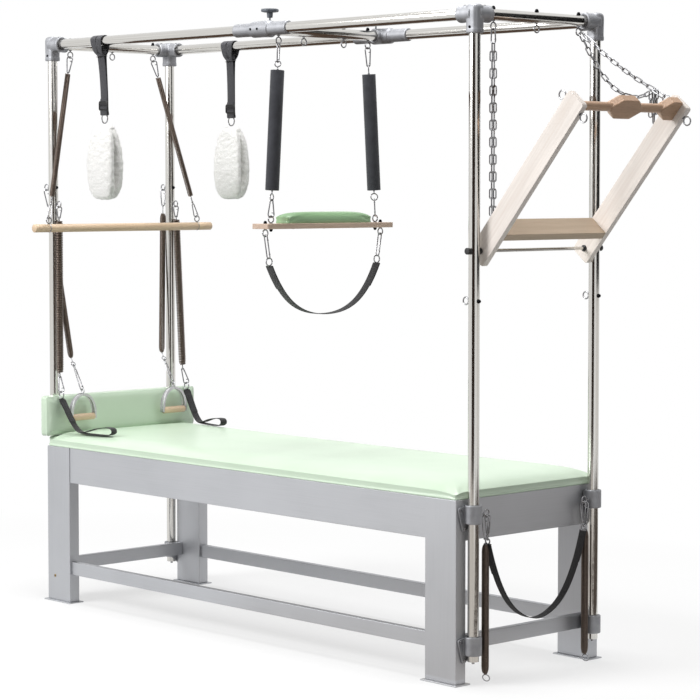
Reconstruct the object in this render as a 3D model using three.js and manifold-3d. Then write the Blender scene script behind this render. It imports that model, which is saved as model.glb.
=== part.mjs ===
// A pilates trapeze table: a padded aluminium table under a tower of steel tubes, with a sliding
// cross bar and trapeze, a push-through bar, a roll-down bar, springs, handles, cuffs and straps.
// Millimetres, +Z up, +X towards the push-through bar's end, -Y towards the front.
import * as THREE from 'three';
import { mergeVertices } from 'three/addons/utils/BufferGeometryUtils.js';
import Module from 'manifold-3d';

const wasm = await Module();
wasm.setup();

// Clearances shared by the whole table
const seatGap = 0.3; // between pieces that touch
const slidingGap = 0.5; // between a tube and what slides or turns on it
const cutOverrun = 2; // how far a cutting shape runs past the face it opens
const weldDepth = 0.8; // how far welded or tight-hooked wires sink into each other

// Table frame
const tableLength = 2266;
const tableWidth = 700;
const frameTop = 613;
const legDepth = 144;
const legThickness = 46;
const legChamfer = 3;
const footPlateThickness = 5;
const footPlateOverhang = 12;
const apronHeight = 137;
const apronThickness = 32;
const apronRecess = 3;
const stretcherHeight = 50;
const stretcherThickness = 26;
const stretcherCentreHeight = 138;

// Upholstery; crown shares are insets as shares of half the narrow side, then heights of the cushion's
const padHeight = 54;
const padCornerRadius = 14;
const padSideDraw = 1.2;
const deckThickness = 12;
const deckInset = 16;
const headboardLength = 752;
const headboardHeight = 160;
const headboardThickness = 45;
const headboardCornerRadius = 12;
const headboardDraw = 1.5;
const headboardRise = 38; // above the frame's top
const cushionCornerSteps = 2;
const cushionSideSteps = 4;
const cushionSideShares = [0.16, 0.42, 0.72];
const padCrownShares = [[0.03, 0.85], [0.12, 0.93], [0.34, 0.99], [0.8, 1]];
const headboardCrownShares = [[0.06, 0.9], [0.25, 0.97], [0.7, 1]];
const seatCrownShares = [[0.12, 0.84], [0.35, 0.95], [0.75, 1]];

// Tower of tubes
const tubeDiameter = 38;
const tubeWall = 2;
const tubeSides = 12;
const postLegClearance = 6;
const postSpacingAcross = 589;
const railHeight = 2194;
const postFootHeight = 72;
const plugHeight = 4;
const plugBoltRadius = 5;
const plugBoltHeight = 8;

// Three-way corner fittings
const socketReach = 64;
const socketMouthRadius = 26.5;
const socketRootRadius = 31;
const hubRadius = 34;
const hubSides = 8;
const tubeSeatDepth = 42;

// Clamps that hold the posts to the legs
const clampHeight = 62;
const clampRadius = 29;
const clampSides = 12;
const upperClampHeight = 565;
const lowerClampHeight = 131;
const clampEarThickness = 5.5;
const clampEarReach = 50;
const clampUpperEarRise = 14;
const clampLowerEarDrop = 48;
const clampEarRadius = 11;
const clampEarRoundShare = 0.7;
const clampRootShare = 0.9;

// Eyebolts, rings, clips and dome nuts of bent wire
const hardwareWire = 2.4;
const wireSides = 3;
const stemSides = 4;
const ringSegments = 8;
const eyeRadius = 12;
const smallEyeRadius = 9;
const eyeShank = 6;
const clipRadius = 8;
const clipArcSteps = 4;
const dRingRadius = 14;
const nutRadius = 7;
const nutHeight = 11;
const nutSides = 6;
const nutCrownShare = 0.55;
const springSides = 10;
const springNeckShare = 1.8;
const strapThickness = 3;
const strapSteps = 12;
const railEyeSpacing = 208;
const upperPostEyeDrop = 562; // from the rails' axes
const upperPostEyeShank = 15;
const lowerPostEyeDrop = 629;
const rightPostEyeDrop = 163; // below the pivot

// Sliding cross bar
const crossBarPlace = 110;
const teeSleeveLength = 284;
const teeSleeveRadius = 24;
const teeBodyLength = 96;
const teeBodyRadius = 29;
const teeSocketReach = 46;
const teeSocketRadius = 27;
const teeSeatDepth = 24;
const innerEyePlace = 98;
const outerEyePlace = 219;
const knobOffset = 34;
const knobRadius = 32;
const knobDiscHeight = 13;
const knobHubRadius = 10;
const knobHubHeight = 18;
const knobScrewRadius = 3;
const knobScrewHeight = 16;
const knobLobes = 6;
const knobStepsPerLobe = 3;
const knobLobeDepthShare = 0.09;

// Trapeze
const trapezeLinkSpan = 50;
const hangerRodRadius = 4;
const hangerCollarRadius = 11;
const hangerCollarHeight = 4;
const sleeveRadius = 25;
const sleeveLength = 430;
const sleeveTopDrop = 94;
const sleeveSides = 14;
const plankLength = 618;
const plankWidth = 90;
const plankThickness = 19;
const plankDrop = 691; // from the rails' axes to its top
const plankEyePlace = 257;
const plankEyeShank = 3;
const slingEyePlace = 284;
const seatCushionLength = 424;
const seatCushionWidth = 80;
const seatCushionHeight = 42;
const seatCushionRadius = 12;

// Trapeze sling
const slingStrapWidth = 38;
const slingStrapTopPlace = 266;
const slingStrapTopDrop = 151; // below the plank's top
const slingStrapHang = 181;

// Push-through bar
const pivotDrop = 768; // from the rails' axes
const pivotRodRadius = 6;
const pivotRodReach = 12;
const pivotCapWall = 4;
const pivotSides = 12;
const armThickness = 22;
const armWidth = 80;
const armReach = 638;
const armHeel = 36;
const armLeanDegrees = 49.8;
const armSideGap = 10.5;
const armCornerRadius = 9;
const bushRadius = 10;
const shelfPlace = 90;
const shelfThickness = 26;
const handlePlace = 606;
const handleRadius = 15;
const handleBlockLength = 152;
const handleBlockWidth = 75;
const handleBlockThickness = 34;
const handleBlockOffset = -13;
const handleBevelLength = 38;
const handleFlareLength = 84;
const armEyePlace = 602;
const armEyeRadius = 14;
const armEyeShank = 4;

// Chains
const chainPitch = 60;
const chainWire = 2;
const chainLinkHalfWidth = 6;
const chainStraightShare = 0.72;
const chainStrandOffset = 5.5;
const chainClipSpan = 44;
const chainClipRadius = 10;
const looseChainLength = 606;
const slackSagShare = 0.12;
const spareChainLength = 95;

// Roll-down bar
const rollBarLength = 888;
const rollBarRadius = 16;
const rollBarDrop = 721; // from the rails' axes
const rollBarForward = 78;
const rollBarEyeInset = 71; // from the bar's end
const rollSpringRadius = 10.5;
const rollClipSpan = 56;

// Arm springs with handles
const armSpringRadius = 12.5;
const armHangForward = 22;
const armHangInward = 64.5;
const armSpringFootRise = 144; // above the headboard
const armClipSpan = 96;
const handleForwardOfBoard = 34;
const handleInward = 64.5;
const gripRise = 111; // above the frame's top
const gripLength = 108;
const gripRadius = 13.5;
const gripRodRadius = 4;
const bowRise = 88;
const bowThickness = 3;
const bowDepth = 20;
const bowSteps = 12;

// Leg springs with loop straps; strap shares are along its reach, then up its rise
const coilWireRadius = 4;
const coilRadius = 12;
const coilCurls = 16;
const coilSteps = 8;
const coilSides = 4;
const legSpringFootRise = 92; // above the headboard
const legSpringForward = 20;
const legSpringOutward = 16;
const legRingOutward = 6;
const legClipSpan = 52;
const legStrapWidth = 32;
const legStrapTopDrop = 13; // below the headboard's top
const legStrapForwardOfBoard = 12;
const legStrapReach = 290;
const frontStrapTurnDegrees = 8;
const backStrapTurnDegrees = 8;
const legStrapShares = [
  [0, 1], [0.12, 0.6], [0.24, 0.24], [0.34, 0.05], [0.46, 0], [0.62, 0], [0.8, 0], [0.93, 0.02],
  [0.99, 0.09], [0.98, 0.17], [0.9, 0.22], [0.76, 0.2], [0.6, 0.14], [0.47, 0.1],
];

// Fleece cuffs; section shares are across the width, then through the padding
const cuffDrop = 318; // from the rails' axes to its top
const cuffHeight = 292;
const cuffWidth = 148;
const cuffDepth = 78;
const cuffThickness = 26;
const cuffForwardFront = 338; // from the left posts' axes
const cuffForwardBack = 394;
const cuffStrapWidth = 46;
const cuffRingRadius = 18;
const cuffWrapShare = 0.82;
const cuffWaistShare = 0.16;
const cuffSteps = 14;
const cuffSectionShares = [
  [1, 0.55], [0.8, 1], [-0.8, 1], [-1, 0.55], [-1, -0.55], [-0.8, -1], [0.8, -1], [1, -0.55],
];
const buckleRise = 70; // above the cuff
const buckleWidth = 56;
const buckleTall = 38;
const buckleThickness = 3;

// Springs and strap at the push-through bar's end
const endEyeForward = 8;
const endEyeShank = 13;
const endHookOffset = 5.2;
const endClipSpan = 56;
const endStrapClipSpan = 40;
const endSpringRadius = 13;
const endSpringFootHeight = 8;
const endStrapWidth = 30;
const endStrapLowHeight = 190;

// Places worked out from the sizes above
const postX = tableLength / 2 + postLegClearance + tubeDiameter / 2;
const postY = postSpacingAcross / 2;
const tubeRadius = tubeDiameter / 2;
const padBase = frameTop + seatGap;
const headboardBack = -postX + tubeRadius + seatGap;
const pivotHeight = railHeight - pivotDrop;
const upperPostEyeHeight = railHeight - upperPostEyeDrop;
const lowerPostEyeHeight = railHeight - lowerPostEyeDrop;
const rightPostEyeHeight = pivotHeight - rightPostEyeDrop;
const headboardBottom = frameTop + headboardRise;
const headboardTop = headboardBottom + headboardHeight;
const plankTopHeight = railHeight - plankDrop;
const slingStrapTopHeight = plankTopHeight - slingStrapTopDrop;
const slingStrapLowHeight = slingStrapTopHeight - slingStrapHang;
const rollBarHeight = railHeight - rollBarDrop;
const rollBarEyePlace = rollBarLength / 2 - rollBarEyeInset;
const armSpringFootHeight = headboardTop + armSpringFootRise;
const gripHeight = frameTop + gripRise;
const legSpringFootHeight = headboardTop + legSpringFootRise;
const legStrapTopHeight = headboardTop - legStrapTopDrop;
const cuffTopHeight = railHeight - cuffDrop;
const cuffBottomHeight = cuffTopHeight - cuffHeight;
const buckleHeight = cuffTopHeight + buckleRise;
const cuffPlaceFront = -postX + cuffForwardFront;
const cuffPlaceBack = -postX + cuffForwardBack;
const wireInnerShare = Math.cos(Math.PI / wireSides); // a wire's inner flat, as a share of its radius
const bendShare = Math.sin(Math.PI / wireSides) * Math.tan(Math.PI / ringSegments);
const freeHold = 2 * hardwareWire * (wireInnerShare + bendShare) + slidingGap;
const fixedHold = 2 * hardwareWire * wireInnerShare - weldDepth;
const acrossX = new THREE.Vector3(1, 0, 0);
const acrossY = new THREE.Vector3(0, 1, 0);
const up = new THREE.Vector3(0, 0, 1);
const down = new THREE.Vector3(0, 0, -1);
const at = (x, y, z) => new THREE.Vector3(x, y, z);

// Solids: joining and cutting closed meshes
function stripped(geometry) {
  const bare = geometry.index ? geometry.toNonIndexed() : geometry.clone();
  for (const name of Object.keys(bare.attributes)) {
    if (name !== 'position') bare.deleteAttribute(name);
  }
  return bare;
}

function toSolid(geometry) {
  const merged = mergeVertices(stripped(geometry));
  return new wasm.Manifold(new wasm.Mesh({
    numProp: 3,
    vertProperties: new Float32Array(merged.attributes.position.array),
    triVerts: new Uint32Array(merged.index.array),
  }));
}

function toGeometry(solid) {
  const mesh = solid.getMesh();
  const geometry = new THREE.BufferGeometry();
  geometry.setAttribute('position', new THREE.BufferAttribute(new Float32Array(mesh.vertProperties), 3));
  geometry.setIndex(new THREE.BufferAttribute(new Uint32Array(mesh.triVerts), 1));
  return stripped(geometry);
}

function join(...geometries) {
  const solids = geometries.map(toSolid);
  return toGeometry(solids.reduce((whole, part) => whole.add(part)));
}

function cut(base, ...tools) {
  return toGeometry(tools.map(toSolid).reduce((whole, tool) => whole.subtract(tool), toSolid(base)));
}

// Shapes
function box(sizeX, sizeY, sizeZ, x, y, z) {
  return new THREE.BoxGeometry(sizeX, sizeY, sizeZ).translate(x, y, z);
}

function turnTo(geometry, from, to) {
  const axis = to.clone().sub(from).normalize();
  const turn = new THREE.Quaternion().setFromUnitVectors(new THREE.Vector3(0, 1, 0), axis);
  const centre = from.clone().add(to).multiplyScalar(1 / 2);
  return geometry.applyQuaternion(turn).translate(centre.x, centre.y, centre.z);
}

function rod(from, to, radius, sides, endRadius = radius) {
  return turnTo(new THREE.CylinderGeometry(endRadius, radius, from.distanceTo(to), sides), from, to);
}

function tube(from, to, radius, wall, sides) {
  const half = from.distanceTo(to) / 2;
  const profile = [
    [radius - wall, -half], [radius, -half], [radius, half], [radius - wall, half], [radius - wall, -half],
  ].map(([r, y]) => new THREE.Vector2(r, y));
  return turnTo(new THREE.LatheGeometry(profile, sides), from, to);
}

function turned(from, to, stations, sides) {
  // stations: [distance from the start, radius] pairs along the axis
  const half = from.distanceTo(to) / 2;
  const profile = stations.map(([place, radius]) => new THREE.Vector2(radius, place - half));
  return turnTo(new THREE.LatheGeometry(profile, sides), from, to);
}

function roundedOutline(sizeX, sizeY, radius) {
  const [halfX, halfY] = [sizeX / 2, sizeY / 2];
  const outline = new THREE.Shape();
  outline.moveTo(-halfX + radius, -halfY);
  outline.lineTo(halfX - radius, -halfY);
  outline.absarc(halfX - radius, -halfY + radius, radius, -Math.PI / 2, 0);
  outline.absarc(halfX - radius, halfY - radius, radius, 0, Math.PI / 2);
  outline.absarc(-halfX + radius, halfY - radius, radius, Math.PI / 2, Math.PI);
  outline.absarc(-halfX + radius, -halfY + radius, radius, Math.PI, 3 * Math.PI / 2);
  return outline;
}

function plate(outline, thickness, curveSegments) {
  return new THREE.ExtrudeGeometry(outline, { depth: thickness, bevelEnabled: false, curveSegments });
}

// A skin through rings of points, closed by caps or, for a loop, by joining its ends
function loft(rings, looped = false) {
  const count = rings[0].length;
  const points = rings.flat();
  const faces = [];
  const spans = looped ? rings.length : rings.length - 1;
  for (let i = 0; i < spans; i += 1) {
    const here = i * count;
    const next = ((i + 1) % rings.length) * count;
    for (let j = 0; j < count; j += 1) {
      const k = (j + 1) % count;
      faces.push([here + j, here + k, next + k], [here + j, next + k, next + j]);
    }
  }
  if (!looped) {
    const caps = [[rings[0], 0, true], [rings.at(-1), (rings.length - 1) * count, false]];
    for (const [ring, start, first] of caps) {
      const middle = ring.reduce((sum, p) => sum.add(p), at(0, 0, 0)).multiplyScalar(1 / count);
      points.push(middle);
      for (let j = 0; j < count; j += 1) {
        const k = (j + 1) % count;
        const face = [points.length - 1, start + k, start + j];
        faces.push(first ? face : face.reverse());
      }
    }
  }
  const volume = faces.reduce((sum, [a, b, c]) => sum
    + points[a].dot(new THREE.Vector3().crossVectors(points[b], points[c])), 0);
  const outward = volume < 0 ? faces.map((face) => [...face].reverse()) : faces;
  const geometry = new THREE.BufferGeometry();
  geometry.setAttribute('position', new THREE.Float32BufferAttribute(
    outward.flat().flatMap((i) => points[i].toArray()), 3));
  return geometry;
}

// A bent wire in one plane: its points run counter-clockwise about the plane's normal
function bentWire(points, normal, radius, looped = true) {
  const last = points.length - 1;
  const rings = points.map((point, i) => {
    const before = points[i === 0 ? (looped ? last : 0) : i - 1];
    const after = points[i === last ? (looped ? 0 : last) : i + 1];
    const along = after.clone().sub(before).normalize();
    const outward = new THREE.Vector3().crossVectors(normal, along).normalize();
    return Array.from({ length: wireSides }, (_, j) => {
      const angle = j * 2 * Math.PI / wireSides;
      return point.clone().addScaledVector(outward, radius * Math.cos(angle))
        .addScaledVector(normal, radius * Math.sin(angle));
    });
  });
  return loft(rings, looped);
}

// Puts local -Z along a direction and local X across it
function placed(geometry, origin, downward, across) {
  const z = downward.clone().negate().normalize();
  const x = across.clone().addScaledVector(z, -across.dot(z)).normalize();
  const y = new THREE.Vector3().crossVectors(z, x);
  return geometry.applyMatrix4(new THREE.Matrix4().makeBasis(x, y, z).setPosition(origin));
}

// A clip or long link between the wires whose centres are given, hooked over both.
// A hold is the distance from the wire that it hooks over to its own wire, centre to centre.
function clip(from, to, across, holds, radii = [clipRadius, clipRadius]) {
  const along = to.clone().sub(from).normalize();
  const high = from.clone().addScaledVector(along, radii[0] - holds[0]);
  const span = high.distanceTo(to.clone().addScaledVector(along, holds[1] - radii[1]));
  const arc = (radius, centreZ, start) => Array.from({ length: clipArcSteps + 1 }, (_, i) => {
    const angle = start + i * Math.PI / clipArcSteps;
    return at(radius * Math.cos(angle), 0, centreZ + radius * Math.sin(angle));
  });
  const points = [...arc(radii[0], 0, 0), ...arc(radii[1], -span, Math.PI)];
  return placed(bentWire(points, acrossY, hardwareWire), high, along, across);
}

// A ring of wire, its centre given, in the plane of the two directions
function wireRing(centre, radius, along, across) {
  const ring = new THREE.TorusGeometry(radius, hardwareWire, wireSides, ringSegments).rotateX(Math.PI / 2);
  return placed(ring, centre, along, across);
}

// An eye bent from one wire: a stem from its end to the ring, then round the ring to just short of it
function eye(centre, stemEnd, across, radius = smallEyeRadius) {
  const toStem = stemEnd.clone().sub(centre).normalize();
  const ring = Array.from({ length: ringSegments }, (_, i) => {
    const angle = Math.PI / 2 + i * 2 * Math.PI / ringSegments;
    return at(radius * Math.cos(angle), 0, radius * Math.sin(angle));
  });
  const wire = bentWire([at(0, 0, centre.distanceTo(stemEnd)), ...ring], acrossY, hardwareWire, false);
  return [placed(wire, centre, toStem.negate(), across)];
}

function domeNut(surface, outward) {
  return rod(surface.clone().addScaledVector(outward, -weldDepth),
    surface.clone().addScaledVector(outward, nutHeight), nutRadius, nutSides, nutRadius * nutCrownShare);
}

// An eyebolt through a piece, with a dome nut on its far side; half is the piece's half thickness
function eyeBoltCentre(heart, outward, half, radius = eyeRadius, shank = eyeShank) {
  return heart.clone().addScaledVector(outward, half + shank + radius);
}

function eyeBolt(heart, outward, across, half, radius = eyeRadius, shank = eyeShank) {
  const centre = eyeBoltCentre(heart, outward, half, radius, shank);
  const nutFace = heart.clone().addScaledVector(outward, -half);
  const stemEnd = heart.clone().addScaledVector(outward, half - weldDepth);
  return [...eye(centre, stemEnd, across, radius), domeNut(nutFace, outward.clone().negate())];
}

// Where a ring's wire is met by a pull from its centre; a ring has a corner on its stem's axis
function pulledSpot(centre, axis, pull, radius) {
  const half = Math.PI / ringSegments;
  const angle = axis.angleTo(pull) % (2 * half);
  return centre.clone().addScaledVector(pull, radius * Math.cos(half) / Math.cos(angle - half));
}

// A flat band of webbing carried along a path, its width along the side direction
function band(path, side, width, thickness) {
  const rings = path.map((point, i) => {
    const before = path[Math.max(i - 1, 0)];
    const after = path[Math.min(i + 1, path.length - 1)];
    const along = after.clone().sub(before).normalize();
    const lift = new THREE.Vector3().crossVectors(along, side).normalize().multiplyScalar(thickness / 2);
    const reach = side.clone().multiplyScalar(width / 2);
    return [
      point.clone().add(reach).add(lift), point.clone().sub(reach).add(lift),
      point.clone().sub(reach).sub(lift), point.clone().add(reach).sub(lift),
    ];
  });
  return loft(rings);
}

// The smooth outer body of a close-wound spring, drawn in to a neck at each end
function closeSpring(top, bottom, radius) {
  const length = top.distanceTo(bottom);
  const taper = radius * 2;
  const neck = hardwareWire * springNeckShare;
  return turned(top, bottom, [
    [0, 0], [0, neck], [taper, radius], [length - taper, radius], [length, neck], [length, 0],
  ], springSides);
}

// A close-wound spring hung between two wires, with a long clip on each end of its body
function hungSpring(from, to, radius, across, spans, holds) {
  const along = to.clone().sub(from).normalize();
  const reach = from.distanceTo(to);
  const point = (distance) => from.clone().addScaledVector(along, distance);
  const [start, end] = [spans[0], reach - spans[1]];
  const spring = join(clip(from, point(start), across, [holds[0], 0]),
    closeSpring(point(start), point(end), radius));
  return spans[1] === 0 ? spring : join(spring, clip(point(end), to, across, [0, holds[1]]));
}

// Materials
function metal(color, roughness, metalness = 1) {
  return new THREE.MeshStandardMaterial({ color, roughness, metalness });
}

const brushedAluminium = () => metal(0xb9bcbd, 0.5);
const stainless = () => metal(0xc9c6c0, 0.18);
const greyCasting = () => metal(0x6f7173, 0.55, 0.6);
const chrome = () => metal(0xd5d6d8, 0.12);
const springSteel = () => metal(0x5b524b, 0.42);
const blackPlastic = () => metal(0x151517, 0.45, 0);
const mintVinyl = () => metal(0xb5dcb4, 0.5, 0);
const greenVinyl = () => metal(0x86b487, 0.5, 0);
const birchPly = () => metal(0xc9ae8c, 0.6, 0);
const beech = () => metal(0xe0c09a, 0.5, 0);
const foamRubber = () => metal(0x2f3035, 0.75, 0);
const webbing = () => metal(0x1d1c1f, 0.85, 0);
const greyWebbing = () => metal(0x45454a, 0.85, 0);
const fleece = () => metal(0xeceae4, 0.95, 0);

const table = new THREE.Group();

function add(name, geometry, material) {
  const mesh = new THREE.Mesh(geometry, material);
  mesh.name = name;
  table.add(mesh);
}

const sides = [[-1, 'front'], [1, 'back']];
const ends = [[-1, 'left'], [1, 'right']];

// Table frame: an end frame of two legs at each end, with side aprons and stretchers between them
function leg(x, y) {
  const outline = new THREE.Shape();
  const [halfX, halfY] = [legDepth / 2, legThickness / 2];
  const turns = [[1, -1], [1, 1], [-1, 1], [-1, -1]];
  turns.forEach(([sx, sy], i) => {
    const alongX = [sx * (halfX - legChamfer), sy * halfY];
    const alongY = [sx * halfX, sy * (halfY - legChamfer)];
    const pair = i % 2 === 0 ? [alongX, alongY] : [alongY, alongX];
    pair.forEach((point, j) => (i + j === 0 ? outline.moveTo(...point) : outline.lineTo(...point)));
  });
  const stem = plate(outline, frameTop - footPlateThickness / 2, 1).translate(0, 0, footPlateThickness / 2);
  const foot = box(legDepth + 2 * footPlateOverhang, legThickness + 2 * footPlateOverhang,
    footPlateThickness, 0, 0, footPlateThickness / 2);
  return [stem, foot].map((piece) => piece.translate(x * (tableLength - legDepth) / 2,
    y * (tableWidth - legThickness) / 2, 0));
}

const apronCentre = frameTop - apronHeight / 2;
const stretcherRecess = (legThickness - stretcherThickness) / 2;

function endBar(x, height, thickness, centreHeight, recess) {
  const length = tableWidth - 2 * legThickness + cutOverrun;
  return box(thickness, length, height, x * (tableLength / 2 - recess - thickness / 2), 0, centreHeight);
}

function sideBar(y, height, thickness, centreHeight, recess) {
  const length = tableLength - 2 * legDepth - 2 * seatGap;
  return box(length, thickness, height, 0, y * (tableWidth / 2 - recess - thickness / 2), centreHeight);
}

for (const [x, name] of ends) {
  add(`${name}_end_frame`, join(...leg(x, -1), ...leg(x, 1),
    endBar(x, apronHeight, apronThickness, apronCentre, apronRecess),
    endBar(x, stretcherHeight, stretcherThickness, stretcherCentreHeight, stretcherRecess)),
  brushedAluminium());
}
for (const [y, name] of sides) {
  add(`${name}_apron`, sideBar(y, apronHeight, apronThickness, apronCentre, apronRecess),
    brushedAluminium());
  add(`${name}_stretcher`, sideBar(y, stretcherHeight, stretcherThickness, stretcherCentreHeight,
    stretcherRecess), brushedAluminium());
}

// A cushion: rings of a rounded rectangle, drawn in at half height and rising to a crown
function cushionRing(halfX, halfY, radius, z, draw) {
  const turns = [[1, -1, -Math.PI / 2], [1, 1, 0], [-1, 1, Math.PI / 2], [-1, -1, Math.PI]];
  const corner = ([sx, sy, start], step) => {
    const angle = start + step * Math.PI / 2 / cushionCornerSteps;
    return at(sx * (halfX - radius) + radius * Math.cos(angle),
      sy * (halfY - radius) + radius * Math.sin(angle), z);
  };
  return turns.flatMap((turn, i) => {
    const next = turns[(i + 1) % turns.length];
    const arc = Array.from({ length: cushionCornerSteps + 1 }, (_, j) => corner(turn, j));
    const [from, to] = [arc.at(-1), corner(next, 0)];
    const inward = at(-(turn[0] + next[0]) / 2, -(turn[1] + next[1]) / 2, 0);
    const side = Array.from({ length: cushionSideSteps - 1 }, (_, j) => {
      const share = (j + 1) / cushionSideSteps;
      return from.clone().lerp(to, share).addScaledVector(inward, draw * 4 * share * (1 - share));
    });
    return [...arc, ...side];
  });
}

// crownShares: insets as shares of half the narrow side, heights as shares of the cushion's height
function cushion(sizeX, sizeY, sizeZ, radius, draw, crownShares) {
  const reach = Math.min(sizeX, sizeY) / 2;
  const level = (inset, heightShare, pull) => cushionRing(sizeX / 2 - inset, sizeY / 2 - inset,
    Math.min(Math.max(radius - inset, radius / 4), reach - inset), sizeZ * heightShare, pull);
  const [rootShare, waistShare, shoulderShare] = cushionSideShares;
  const rings = [
    level(radius / 3, 0, draw), level(0, rootShare, draw), level(draw, waistShare, draw * 2),
    level(0, shoulderShare, draw),
  ];
  for (const [insetShare, heightShare] of crownShares) {
    rings.push(level(reach * insetShare, heightShare, draw * (1 - insetShare)));
  }
  return loft(rings);
}

// Height of the pad's surface at a distance in from its edge
function padSurface(inset) {
  const stations = [[0, cushionSideShares[2]], ...padCrownShares];
  const share = inset / (tableWidth / 2);
  const next = stations.findIndex(([insetShare]) => insetShare >= share);
  if (next < 1) return padBase + padHeight;
  const [[a, low], [b, high]] = [stations[next - 1], stations[next]];
  return padBase + padHeight * (low + (high - low) * (share - a) / (b - a));
}

function headboardSolid(grow) {
  return cushion(headboardHeight + 2 * grow, headboardLength + 2 * grow, headboardThickness + 2 * grow,
    headboardCornerRadius, headboardDraw, headboardCrownShares).rotateY(Math.PI / 2)
    .translate(headboardBack - grow, 0, headboardBottom + headboardHeight / 2);
}

function deckSolid(grow) {
  const height = deckThickness + 2 * grow;
  return box(tableLength - 2 * deckInset + 2 * grow, tableWidth - 2 * deckInset + 2 * grow, height, 0, 0,
    padBase + deckThickness / 2);
}

const padBody = cushion(tableLength, tableWidth, padHeight, padCornerRadius, padSideDraw, padCrownShares)
  .translate(0, 0, padBase);
add('bed_deck', deckSolid(0), birchPly());
add('bed_pad', cut(padBody, deckSolid(seatGap), headboardSolid(seatGap)), mintVinyl());
add('headboard', headboardSolid(0), mintVinyl());

// Clamps: a block round the post with a plate for two screws on the leg's end face
function clampEarCentres(y, height) {
  const outer = y * (postY + clampEarReach - clampEarRadius);
  const inner = y * (postY + clampEarReach / 2 - clampEarRadius / 4);
  return [[outer, height + clampUpperEarRise], [inner, height - clampLowerEarDrop]];
}

function postClamp(x, y, height) {
  const face = x * (tableLength / 2 + seatGap);
  const centre = at(x * postX, y * postY, height);
  const half = at(0, 0, clampHeight / 2);
  const block = rod(centre.clone().sub(half), centre.clone().add(half), clampRadius, clampSides);
  const [upper, lower] = clampEarCentres(y, height);
  const soft = clampEarRadius * clampEarRoundShare;
  const root = clampHeight / 2 * clampRootShare;
  const outline = new THREE.Shape([
    [y * postY, height + root], [upper[0], upper[1] + clampEarRadius], [upper[0] + y * clampEarRadius, upper[1]],
    [lower[0] + y * soft, lower[1] - soft], [lower[0], lower[1] - clampEarRadius], [y * postY, height - root],
  ].map((point) => new THREE.Vector2(...point)));
  const ear = plate(outline, clampEarThickness, 1)
    .applyMatrix4(new THREE.Matrix4().makeBasis(acrossY, up, acrossX))
    .translate(x > 0 ? face : face - clampEarThickness, 0, 0);
  const legSide = box(clampRadius * 2, clampRadius * 4, clampHeight * 4, face - x * clampRadius, y * postY,
    height);
  return cut(join(block, ear), legSide);
}

// Tower: posts, side rails and cross rails seat in the corner fittings' sockets.
// A post carries its two clamps, its eyebolts and a plug with a bolt at its foot.
const seatStart = socketReach - tubeSeatDepth;
const postTop = railHeight - seatStart;
const tubeBore = (from, to) => rod(from, to, tubeRadius - tubeWall, tubeSides);

function post(x, y) {
  const spot = (z) => at(x * postX, y * postY, z);
  const foot = postFootHeight + plugBoltHeight;
  const shell = rod(spot(foot), spot(postTop), tubeRadius, tubeSides);
  const clamps = [upperClampHeight, lowerClampHeight].map((z) => postClamp(x, y, z));
  const bolt = rod(spot(postFootHeight), spot(foot + weldDepth), plugBoltRadius, nutSides);
  const inside = tubeBore(spot(foot + plugHeight), spot(postTop + cutOverrun));
  const shape = cut(join(shell, ...clamps, bolt), inside);
  const eyes = x < 0
    ? [[upperPostEyeHeight, -1, upperPostEyeShank], [lowerPostEyeHeight, 1, eyeShank]]
    : [[rightPostEyeHeight, -1, eyeShank]];
  const eyeBolts = eyes.flatMap(([z, outward, shank]) => eyeBolt(spot(z), at(outward, 0, 0), up, tubeRadius,
    eyeRadius, shank));
  if (x < 0) return join(shape, ...eyeBolts);
  const clampEye = eye(clampEyeCentre(y), at(postX + endEyeForward, y * (postY - tubeRadius), upperClampHeight),
    up, eyeRadius);
  const rodHole = rod(spot(pivotHeight).sub(at(0, tubeRadius + cutOverrun, 0)),
    spot(pivotHeight).add(at(0, tubeRadius + cutOverrun, 0)), pivotRodRadius + slidingGap, pivotSides);
  return cut(join(shape, ...eyeBolts, ...clampEye), rodHole);
}

function clampEyeCentre(side) {
  return at(postX + endEyeForward, side * (postY - clampRadius - endEyeShank - eyeRadius),
    upperClampHeight);
}

function openTube(from, to) {
  const overrun = to.clone().sub(from).normalize().multiplyScalar(cutOverrun);
  return cut(rod(from, to, tubeRadius, tubeSides), tubeBore(from.clone().sub(overrun), to.clone().add(overrun)));
}

for (const [y, depth] of sides) {
  for (const [x, end] of ends) add(`post_${depth}_${end}`, post(x, y), stainless());
  add(`side_rail_${depth}`, openTube(at(-postX + seatStart, y * postY, railHeight),
    at(postX - seatStart, y * postY, railHeight)), stainless());
}
for (const [x, end] of ends) {
  const crossRail = openTube(at(x * postX, -postY + seatStart, railHeight),
    at(x * postX, postY - seatStart, railHeight));
  const eyeBolts = [-1, 0, 1].flatMap((y) => eyeBolt(at(x * postX, y * railEyeSpacing, railHeight), down,
    acrossY, tubeRadius));
  add(`cross_rail_${end}`, join(crossRail, ...eyeBolts), stainless());
}

// Three-way corner fitting: a rounded hub with three tapered sockets, bored for the tubes
function cornerFitting(x, y) {
  const heart = at(x * postX, y * postY, railHeight);
  const ways = [at(-x, 0, 0), at(0, -y, 0), down];
  const point = (way, distance) => heart.clone().addScaledVector(way, distance);
  const arms = ways.map((way) => rod(heart, point(way, socketReach), socketRootRadius, tubeSides,
    socketMouthRadius));
  const hub = new THREE.SphereGeometry(hubRadius, hubSides, hubSides / 2).rotateX(Math.PI / 2)
    .translate(heart.x, heart.y, heart.z);
  const bores = ways.map((way) => rod(point(way, seatStart - seatGap), point(way, socketReach + cutOverrun),
    tubeRadius + slidingGap, tubeSides));
  return cut(join(hub, ...arms), ...bores);
}

for (const [y, depth] of sides) {
  for (const [x, end] of ends) add(`corner_${depth}_${end}`, cornerFitting(x, y), greyCasting());
}

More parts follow.
